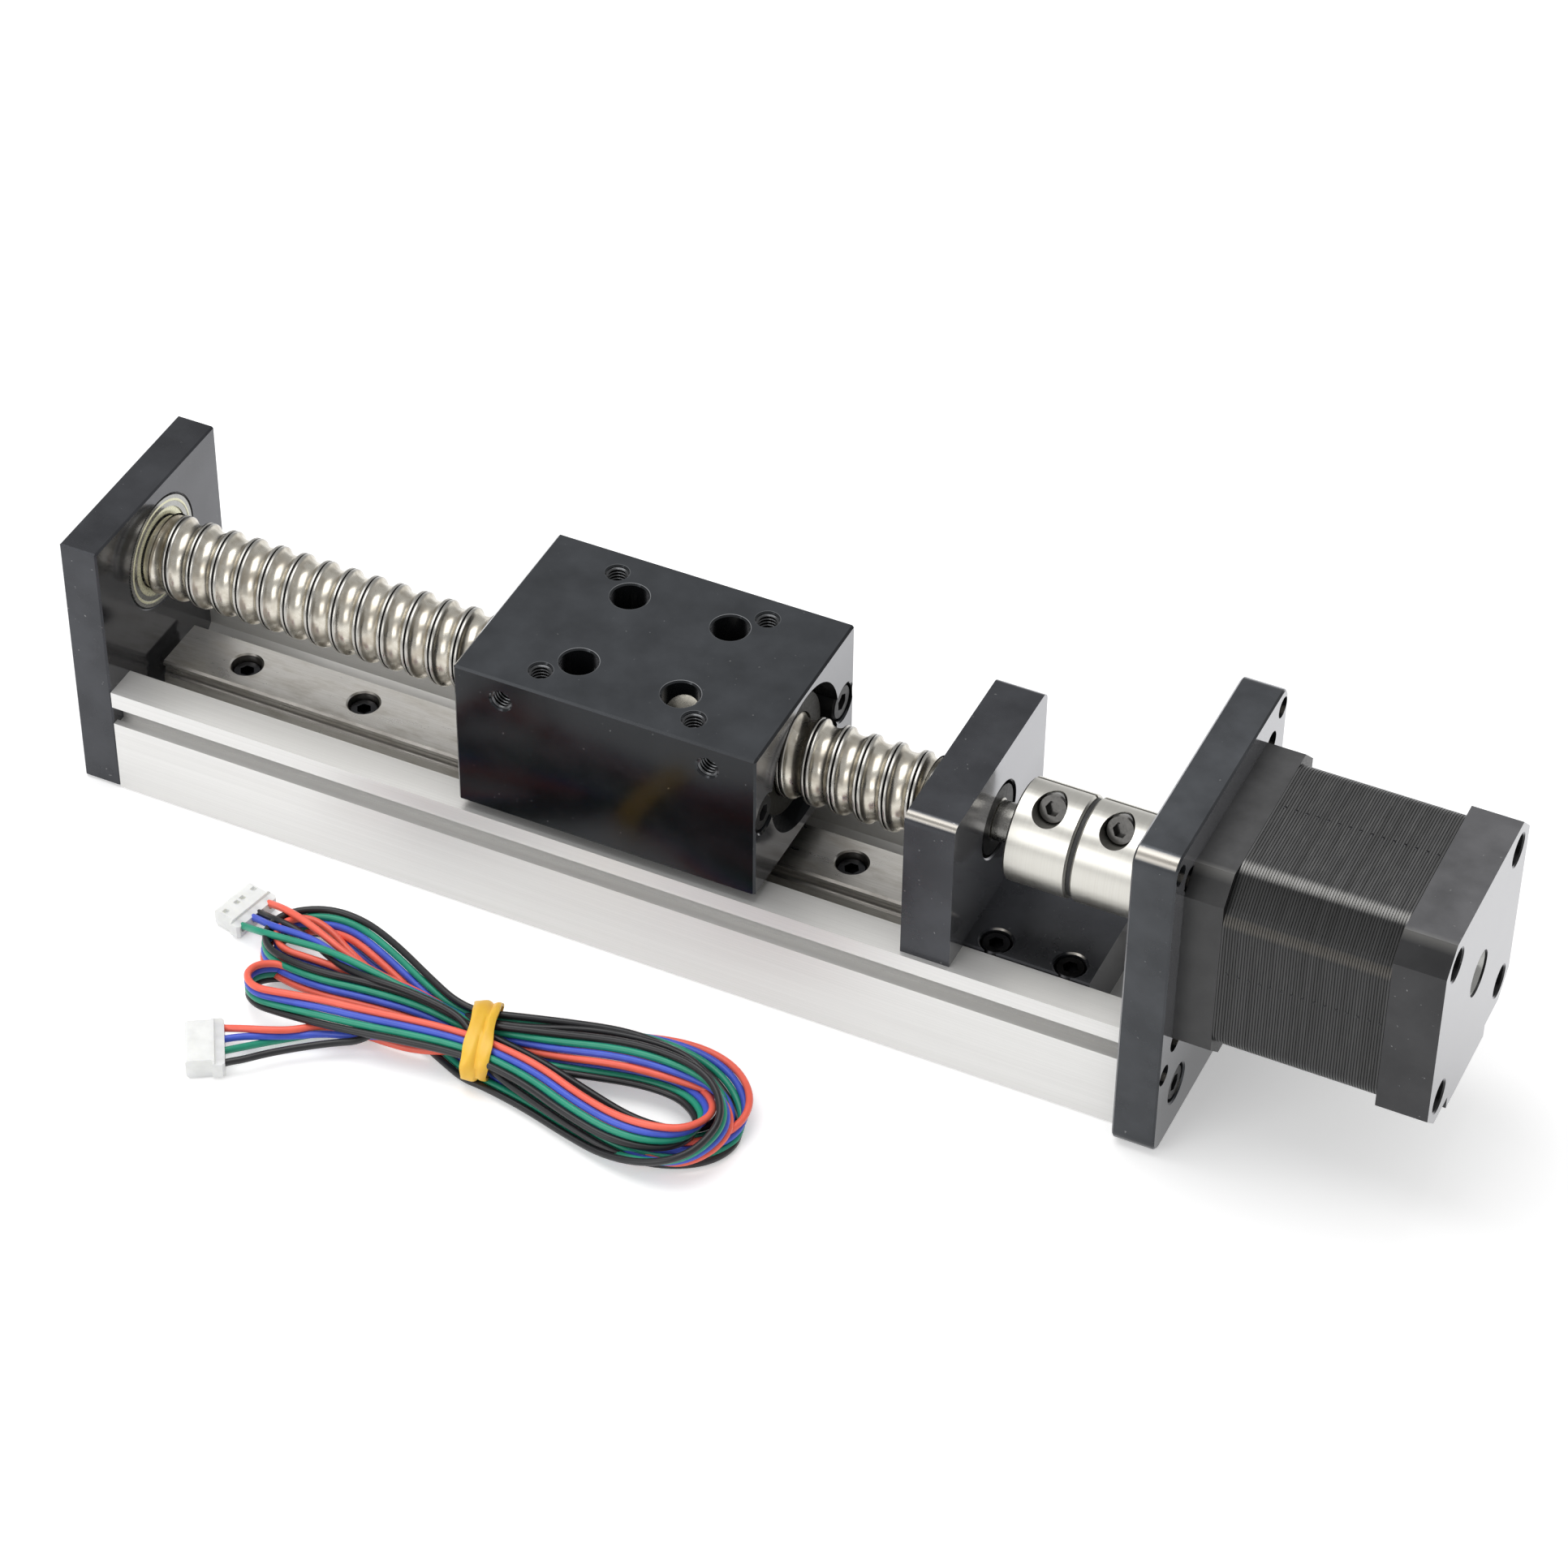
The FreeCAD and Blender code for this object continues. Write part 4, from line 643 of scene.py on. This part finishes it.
# Each wire: colour, lane in the ribbon, then its own free ends from the upper plug and towards the lower one
WIRES = {
    "lead_wire_coral": ((1.0, 0.155, 0.1), 1.5, [
        (49.6, -39.0, 2.3), (50.8, -39.3, 2.7), (55.6, -42.2, 5.8), (60.0, -43.7, 6.5), (65.7, -45.8, 6.6),
        (71.2, -47.7, 5.9), (78.0, -49.1, 5.2)], [
        (79.4, -61.2, 2.2), (74.3, -63.4, 3.1), (71.0, -66.9, 3.6), (66.7, -68.9, 3.6), (62.5, -70.1, 3.2),
        (59.3, -70.8, 2.5), (58.0, -71.3, 2.5)]),
    "lead_wire_blue": ((0.06, 0.11, 0.62), 0.5, [
        (48.9, -43.4, 2.3), (50.1, -43.8, 2.7), (55.1, -47.0, 5.7), (60.4, -47.4, 6.4), (65.9, -48.0, 6.9),
        (73.8, -50.8, 6.9), (79.4, -51.1, 6.3)], [
        (80.9, -63.6, 3.5), (75.8, -64.4, 2.6), (71.0, -66.9, 2.1), (66.7, -69.2, 2.3), (63.2, -71.2, 2.5),
        (60.8, -73.0, 2.5), (59.6, -74.0, 2.5)]),
    "lead_wire_green": ((0.018, 0.31, 0.19), -0.5, [
        (48.2, -46.2, 2.3), (49.4, -46.6, 2.7), (54.6, -49.2, 5.7), (60.7, -49.4, 6.4), (67.9, -49.6, 7.3),
        (74.8, -50.7, 7.9), (80.1, -51.4, 7.7)], [
        (80.2, -59.4, 0.7), (75.7, -61.6, 0.7), (71.3, -65.3, 0.7), (67.0, -69.3, 1.0), (64.3, -72.9, 1.9),
        (62.4, -75.4, 2.5), (61.2, -76.5, 2.5)]),
    "lead_wire_black": ((0.018, 0.018, 0.02), -1.5, [
        (49.1, -41.9, 2.3), (50.3, -42.3, 2.6), (54.8, -44.9, 5.3), (58.7, -45.4, 5.5), (63.3, -46.4, 5.0),
        (70.6, -50.4, 5.8), (77.9, -53.2, 7.8)], [
        (83.3, -64.0, 3.6), (79.0, -65.7, 2.9), (73.9, -69.0, 2.5), (69.3, -72.9, 2.5), (66.3, -76.3, 2.7),
        (64.1, -77.8, 2.5), (63.1, -78.9, 2.5)]),
}


def from_left(x, y, z):
    return Vector((LEFT_END + x * MM, y * MM, z * MM))


def lane_points(lane):
    """The route's points moved sideways to a wire's own lane in the tilted ribbon."""
    points = []
    for k, (x, y, z, tilt) in enumerate(ROUTE):
        before = ROUTE[max(k - 1, 0)]
        after = ROUTE[min(k + 1, len(ROUTE) - 1)]
        along = Vector((after[0] - before[0], after[1] - before[1], 0)).normalized()
        side = Vector((-along.y, along.x, 0))
        lean = math.radians(tilt)
        step = lane * WIRE_PITCH
        offset = side * (step * math.cos(lean)) + Vector((0, 0, step * math.sin(lean)))
        points.append((x + offset.x, y + offset.y, max(z + offset.z, WIRE_D * WIRE_LOWEST)))
    return points


def make_wire(name):
    colour, lane, upper, lower = WIRES[name]
    points = [from_left(*p) for p in upper + lane_points(lane) + lower]
    curve = bpy.data.curves.new(name, "CURVE")
    curve.dimensions = "3D"
    curve.bevel_depth = WIRE_D / 2 * MM
    curve.bevel_resolution = 3
    curve.use_fill_caps = True
    spline = curve.splines.new("NURBS")
    spline.points.add(len(points) - 1)
    for target, p in zip(spline.points, points):
        target.co = (*p, 1)
    spline.order_u = 3
    spline.use_endpoint_u = True
    spline.resolution_u = 6
    wire = bpy.data.objects.new(name, curve)
    bpy.context.scene.collection.objects.link(wire)
    curve.materials.append(wire_plastic(name, colour))
    return wire, points


for k, name in enumerate(WIRES):
    wire, points = make_wire(name)
    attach(wire, "base")
    if k == 0:
        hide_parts("lead_hank", "lead_tail_upper", "lead_tail_lower")


# Rubber band: flat, pulled round the waist of the hank, with a crease along its middle
BAND_PLACE = (103.0, -55.6)
BAND_TURN = 19.0
BAND_HALF = 8.7
BAND_TOP = 9.2
BAND_HALF_WIDTH = 2.45
BAND_T = 0.75
BAND_SQUARENESS = 0.86
BAND_CREASE = 0.42
BAND_LOWEST = 0.05


def band_outline(turn):
    """A point on the band's loop across the hank: how far to the side and how high, in millimetres."""
    c = math.cos(turn)
    s = math.sin(turn)
    side = BAND_HALF * math.copysign(abs(c) ** BAND_SQUARENESS, c)
    high = BAND_TOP / 2 + 0.1 + (BAND_TOP / 2 - 0.1) * math.copysign(abs(s) ** BAND_SQUARENESS, s)
    return side, high


def make_band():
    around = 96
    across = 12
    rows = []
    for k in range(around):
        turn = 2 * math.pi * k / around
        side, high = band_outline(turn)
        before = band_outline(turn - 0.02)
        after = band_outline(turn + 0.02)
        out = Vector((after[1] - before[1], before[0] - after[0])).normalized()
        wave = 0.16 * math.sin(3 * turn + 0.6) + 0.1 * math.sin(7 * turn)
        drift = 0.35 * math.sin(turn + 0.4)
        outer = []
        inner = []
        for j in range(across + 1):
            share = 2 * j / across - 1
            along = share * (BAND_HALF_WIDTH + wave) + drift
            crease = -BAND_CREASE * math.exp(-((share - 0.18 - 0.2 * math.sin(2 * turn)) / 0.16) ** 2)
            ripple = 0.1 * math.sin(5 * share + 4 * turn)
            edge = -0.3 * abs(share) ** 6
            lift = crease + ripple + edge
            outer.append((along, side + out.x * lift, high + out.y * lift))
            inner.append((along, side - out.x * BAND_T, high - out.y * BAND_T))
        rows.append(outer + inner[::-1])
    turn = math.radians(BAND_TURN)
    vertices = []
    for row in rows:
        for along, side, high in row:
            x = BAND_PLACE[0] + along * math.cos(turn) - side * math.sin(turn)
            y = BAND_PLACE[1] + along * math.sin(turn) + side * math.cos(turn)
            vertices.append(from_left(x, y, max(high, BAND_LOWEST)))
    count = len(rows[0])
    faces = grid_faces(around, count, True, True)
    return mesh_piece("lead_band_rubber", vertices, faces, finishes["band_rubber"])


band = make_band()
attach(band, "base")
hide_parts("lead_band")


# Ball screw: one turn of crest, seam and groove, repeated along the axis and cut to the thread's length
SCREW_LEAD = 5.0
SCREW_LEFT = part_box("ball_screw")[0][0] / MM
THREAD_START = SCREW_LEFT + 8.7
THREAD_END = THREAD_START + 154.9
GROOVE_PROFILE = [
    (-2.5, 7.5), (-2.35, 7.8), (-2.26, 7.85), (-1.9, 7.84), (-1.78, 7.78), (-1.66, 7.66), (-1.53, 7.48),
    (-1.36, 7.27), (-1.14, 7.08), (-0.88, 6.94), (-0.6, 6.84), (-0.3, 6.79), (0.0, 6.78), (0.3, 6.79),
    (0.6, 6.84), (0.88, 6.94), (1.14, 7.08), (1.36, 7.27), (1.53, 7.48), (1.66, 7.66), (1.78, 7.78),
    (1.9, 7.84), (2.26, 7.85), (2.35, 7.8), (2.5, 7.5),
]
# The seam along the crest, a notch whose walls get black screw steel as painted shade:
# its faces' lowest and highest radius, and how steep they are
SEAM_R = (7.52, 7.78)
SEAM_STEEP = 0.82
THREAD_CORE_R = 6.2
POINTS_PER_TURN = 64
SCREW_STEPS = [(0.0, 4.0), (7.2, 4.0), (7.2, 6.95), (7.3, 7.05), (8.9, 7.05)]
DRIVE_STEPS = [(163.4, 6.95), (166.6, 6.95), (166.9, 6.6), (167.1, 4.0), (176.4, 4.0), (176.6, 3.7),
               (192.3, 3.7), (192.5, 3.5)]


def make_screw():
    count = len(GROOVE_PROFILE)
    vertices = []
    for k in range(POINTS_PER_TURN + 1):
        turn = 2 * math.pi * k / POINTS_PER_TURN
        middle = THREAD_START - 1.5 * SCREW_LEAD + SCREW_LEAD * k / POINTS_PER_TURN
        for along, radius in GROOVE_PROFILE:
            place = Vector((middle + along, radius * math.sin(turn), -radius * math.cos(turn))) * MM
            vertices.append(place + Vector((0, 0, AXIS_Z)))
    unit = unit_object("screw_turn_unit", vertices, grid_faces(POINTS_PER_TURN + 1, count, False, False))
    turns = int((THREAD_END - THREAD_START) / SCREW_LEAD) + 4
    thread = repeated(unit, turns, (SCREW_LEAD * MM, 0, 0), finishes["screw_steel"],
                      low=(THREAD_START * MM, -1, -1), high=(THREAD_END * MM, 1, 1), join=0.000002)
    vertices = []
    faces = []
    for steps in (SCREW_STEPS, DRIVE_STEPS):
        add_turned(vertices, faces, [(SCREW_LEFT + x, r) for x, r in steps], 0.0, AXIS_Z / MM)
    for x in (THREAD_START, THREAD_END):
        disc = [(x - 0.02, THREAD_CORE_R), (x + 0.02, THREAD_CORE_R)]
        add_turned(vertices, faces, disc, 0.0, AXIS_Z / MM)
    piece = mesh_piece("screw_thread", vertices, faces, finishes["screw_steel"], more=[thread])
    # Painted shade: black screw steel for the walls of the crest's seam notch.
    piece.data.materials.append(finishes["black_screw_steel"])
    piece.data.materials.append(plain_metal("drive_end_steel", (0.42, 0.41, 0.38), 0.24))
    for face in piece.data.polygons:
        height = math.hypot(face.center.y, face.center.z - AXIS_Z) / MM
        x = face.center.x / MM
        inside = THREAD_START + 0.1 < x < THREAD_END - 0.1
        if inside and SEAM_R[0] < height < SEAM_R[1] and abs(face.normal.x) > SEAM_STEEP:
            face.material_index = 1
        else:
            face.material_index = 2 if x > THREAD_END + 0.1 else 0
    return piece


screw = make_screw()
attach(screw, "screw")
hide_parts("ball_screw")


# Left bearing's shields, pressed from thin plated sheet
SHIELD_PROFILE = [(-0.6, 10.3), (-0.02, 10.3), (0.06, 10.15), (0.08, 9.85), (-0.14, 9.6), (-0.2, 9.2),
                  (-0.2, 8.6), (-0.02, 8.3), (0.0, 7.6), (-0.12, 7.25), (-0.6, 7.15)]


def make_shields():
    vertices = []
    faces = []
    low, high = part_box("end_bearing_outer_ring")
    for x, side in ((high[0] / MM, 1), (low[0] / MM, -1)):
        add_ring(vertices, faces, SHIELD_PROFILE, (x, 0, AXIS_Z / MM), (side, 0, 0), 64)
    piece = mesh_piece("end_bearing_pressed_shields", vertices, faces, finishes["shield_gold"])
    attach(piece, "base")
    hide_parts("end_bearing_shields")


make_shields()


# Motor stack: thin sheets with rounded corners in a row, with punch marks along two of its sides
SHEET_T = 0.5
SHEET_WIDTH = 7.0
STACK_CHAMFER = 6.8
SHEET_ROUND = 2.4
ROUND_POINTS = 7
MARK_PROFILE = [(-0.25, 0.0), (0.04, 0.0), (0.04, 0.2), (0.0, 0.3), (-0.25, 0.3)]
MARK_COUNT = 15
MARK_FIRST = 1.6
MARK_SHARE = 0.98
TOP_MARK_Y = 2.6
SIDE_MARK_Z = 2.2


def sheet_outline(half):
    """The sheet's outline: a square with its corners cut off and every edge rounded."""
    c = STACK_CHAMFER
    corners = [(half, half - c), (half - c, half), (-half + c, half), (-half, half - c),
               (-half, -half + c), (-half + c, -half), (half - c, -half), (half, -half + c)]
    points = []
    for k, corner in enumerate(corners):
        here = Vector(corner)
        before = (Vector(corners[k - 1]) - here).normalized()
        after = (Vector(corners[(k + 1) % 8]) - here).normalized()
        for j in range(ROUND_POINTS):
            t = j / (ROUND_POINTS - 1)
            start = here + before * SHEET_ROUND
            end = here + after * SHEET_ROUND
            points.append(start.lerp(here, t).lerp(here.lerp(end, t), t))
    return points


def make_stack():
    low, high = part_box("motor_stator_stack")
    start = low[0] / MM
    length = high[0] / MM - start
    half = (high[1] - low[1]) / 2 / MM
    centre_z = (high[2] + low[2]) / 2 / MM
    count = round(length / SHEET_T)
    step = length / count
    profile = [(0.01, SHEET_WIDTH), (0.01, 0.12), (0.07, 0.0), (step - 0.12, 0.0), (step - 0.06, 0.12),
               (step - 0.01, 0.12), (step - 0.01, SHEET_WIDTH)]
    outline = sheet_outline(half)
    vertices = []
    for point in outline:
        out = Vector((point.x / half, point.y / half))
        for along, inset in profile:
            place = point - out * inset
            vertices.append(Vector((start + along, place.x, centre_z + place.y)) * MM)
    faces = grid_faces(len(outline), len(profile), True, True)
    sheets = repeated(unit_object("sheet_unit", vertices, faces), count, (step * MM, 0, 0),
                      finishes["stack_steel"])
    piece = mesh_piece("motor_stack_sheets", [], [], finishes["stack_steel"], more=[sheets])
    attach(piece, "base")
    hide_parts("motor_stator_stack")
    vertices = []
    faces = []
    x = start + MARK_FIRST
    for side in (1, -1):
        top = (x, TOP_MARK_Y * side, centre_z + half * side)
        add_ring(vertices, faces, MARK_PROFILE, top, (0, 0, side), 10)
        flank = (x, -half * side, centre_z + SIDE_MARK_Z * side)
        add_ring(vertices, faces, MARK_PROFILE, flank, (0, -side, 0), 10)
    pitch = length / MARK_COUNT * MM * MARK_SHARE
    # The marks are low discs in black screw steel: painted shade for the punched dimples.
    marks = repeated(unit_object("mark_unit", vertices, faces), MARK_COUNT, (pitch, 0, 0),
                     finishes["black_screw_steel"])
    piece = mesh_piece("motor_stack_marks", [], [], finishes["black_screw_steel"], more=[marks])
    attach(piece, "base")


make_stack()


# Bright lip round the bearing in the motor's rear cap
LIP_PROFILE = [(-2.4, 4.28), (-0.5, 4.28), (-0.4, 4.1), (-0.9, 3.7), (-1.6, 3.45), (-2.4, 3.45)]


def make_rear_lip():
    vertices = []
    faces = []
    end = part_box("motor_rear_cap")[1][0] / MM
    add_ring(vertices, faces, LIP_PROFILE, (end, 0, AXIS_Z / MM), (1, 0, 0), 48)
    piece = mesh_piece("motor_rear_lip", vertices, faces, finishes["bearing_steel"])
    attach(piece, "base")


make_rear_lip()


# Threads in the carriage's tapped holes
TAP_R = 2.0
TAP_PITCH = 0.7
TAP_TURNS = 7
TAP_LEAD_IN = 0.75
TOP_TAP_SPAN = 30.0
SIDE_TAP_SPAN = 40.5
SIDE_TAP_DROP = 4.9


def make_threads():
    low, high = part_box("carriage")
    middle = (low[0] + high[0]) / 2 / MM
    top = high[2] / MM
    half = (high[1] - low[1]) / 2 / MM
    tooth = [(-0.3, TAP_R + 0.1), (-0.26, TAP_R - 0.04), (-0.04, TAP_R - 0.34), (0.04, TAP_R - 0.34),
             (0.26, TAP_R - 0.04), (0.3, TAP_R + 0.1)]
    bare = plain_metal("tapped_thread", (0.09, 0.092, 0.095), 0.24)
    meshes = []
    across = TOP_TAP_SPAN / 2
    side_z = top - SIDE_TAP_DROP
    for span, places in ((TOP_TAP_SPAN, [(across, top, (0, 0, -1)), (-across, top, (0, 0, -1))]),
                         (SIDE_TAP_SPAN, [(half, side_z, (0, -1, 0)), (-half, side_z, (0, 1, 0))])):
        vertices = []
        faces = []
        for y, z, axis in places:
            for k in range(TAP_TURNS):
                centre = Vector((middle - span / 2, y, z)) + Vector(axis) * (TAP_LEAD_IN + TAP_PITCH * k)
                add_ring(vertices, faces, tooth, centre, axis, 24)
        meshes.append(repeated(unit_object("thread_unit", vertices, faces), 2, (span * MM, 0, 0), bare))
    piece = mesh_piece("carriage_tapped_threads", [], [], bare, more=meshes)
    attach(piece, "carriage")


make_threads()


# Floor, backdrop and lights
FLOOR_HALF = 6.0
FLOOR_DROP = 0.0003
FLOOR_GLOW = 0.35
WORLD_LIGHT = 0.55
WORLD_SEEN = 1.0


def make_floor():
    mesh = bpy.data.meshes.new("floor")
    corners = [(x * FLOOR_HALF, y * FLOOR_HALF, 0) for x, y in ((-1, -1), (1, -1), (1, 1), (-1, 1))]
    mesh.from_pydata(corners, [], [(0, 1, 2, 3)])
    floor = bpy.data.objects.new("floor", mesh)
    floor.location = (0, 0, -FLOOR_DROP)
    bpy.context.scene.collection.objects.link(floor)
    material = bpy.data.materials.new("floor_white")
    material.use_nodes = True
    tree = material.node_tree
    tree.nodes.clear()
    out = tree.nodes.new("ShaderNodeOutputMaterial")
    matt = tree.nodes.new("ShaderNodeBsdfDiffuse")
    matt.inputs["Color"].default_value = (0.9, 0.9, 0.9, 1)
    glow = tree.nodes.new("ShaderNodeEmission")
    glow.inputs["Strength"].default_value = FLOOR_GLOW
    add = tree.nodes.new("ShaderNodeAddShader")
    mix = tree.nodes.new("ShaderNodeMixShader")
    path = tree.nodes.new("ShaderNodeLightPath")
    seen = tree.nodes.new("ShaderNodeMath")
    seen.operation = "MAXIMUM"
    tree.links.new(path.outputs["Is Camera Ray"], seen.inputs[0])
    tree.links.new(path.outputs["Is Glossy Ray"], seen.inputs[1])
    tree.links.new(matt.outputs[0], add.inputs[0])
    tree.links.new(glow.outputs[0], add.inputs[1])
    tree.links.new(seen.outputs[0], mix.inputs[0])
    tree.links.new(matt.outputs[0], mix.inputs[1])
    tree.links.new(add.outputs[0], mix.inputs[2])
    tree.links.new(mix.outputs[0], out.inputs[0])
    mesh.materials.append(material)


def make_world():
    world = bpy.data.worlds.new("studio")
    bpy.context.scene.world = world
    world.use_nodes = True
    tree = world.node_tree
    tree.nodes.clear()
    out = tree.nodes.new("ShaderNodeOutputWorld")
    light = tree.nodes.new("ShaderNodeBackground")
    light.inputs["Strength"].default_value = WORLD_LIGHT
    seen = tree.nodes.new("ShaderNodeBackground")
    seen.inputs["Strength"].default_value = WORLD_SEEN
    mix = tree.nodes.new("ShaderNodeMixShader")
    path = tree.nodes.new("ShaderNodeLightPath")
    tree.links.new(path.outputs["Is Camera Ray"], mix.inputs[0])
    tree.links.new(light.outputs[0], mix.inputs[1])
    tree.links.new(seen.outputs[0], mix.inputs[2])
    tree.links.new(mix.outputs[0], out.inputs[0])
    for node in (light, seen):
        node.inputs["Color"].default_value = (1, 1, 1, 1)


def make_lamp(name, place, target, size, power):
    data = bpy.data.lights.new(name, "AREA")
    data.shape = "SQUARE"
    data.size = size
    data.energy = power
    lamp = bpy.data.objects.new(name, data)
    lamp.location = place
    lamp.rotation_euler = (Vector(target) - Vector(place)).to_track_quat("-Z", "Y").to_euler()
    bpy.context.scene.collection.objects.link(lamp)


make_floor()
make_world()
make_lamp("lamp_top", (-0.3, 0.1, 1.1), (0, 0, 0), 0.9, 7.0)
make_lamp("lamp_front", (-0.5, -1.2, 0.7), (0, 0, 0), 0.8, 5.0)

bpy.context.scene.view_settings.view_transform = "Standard"
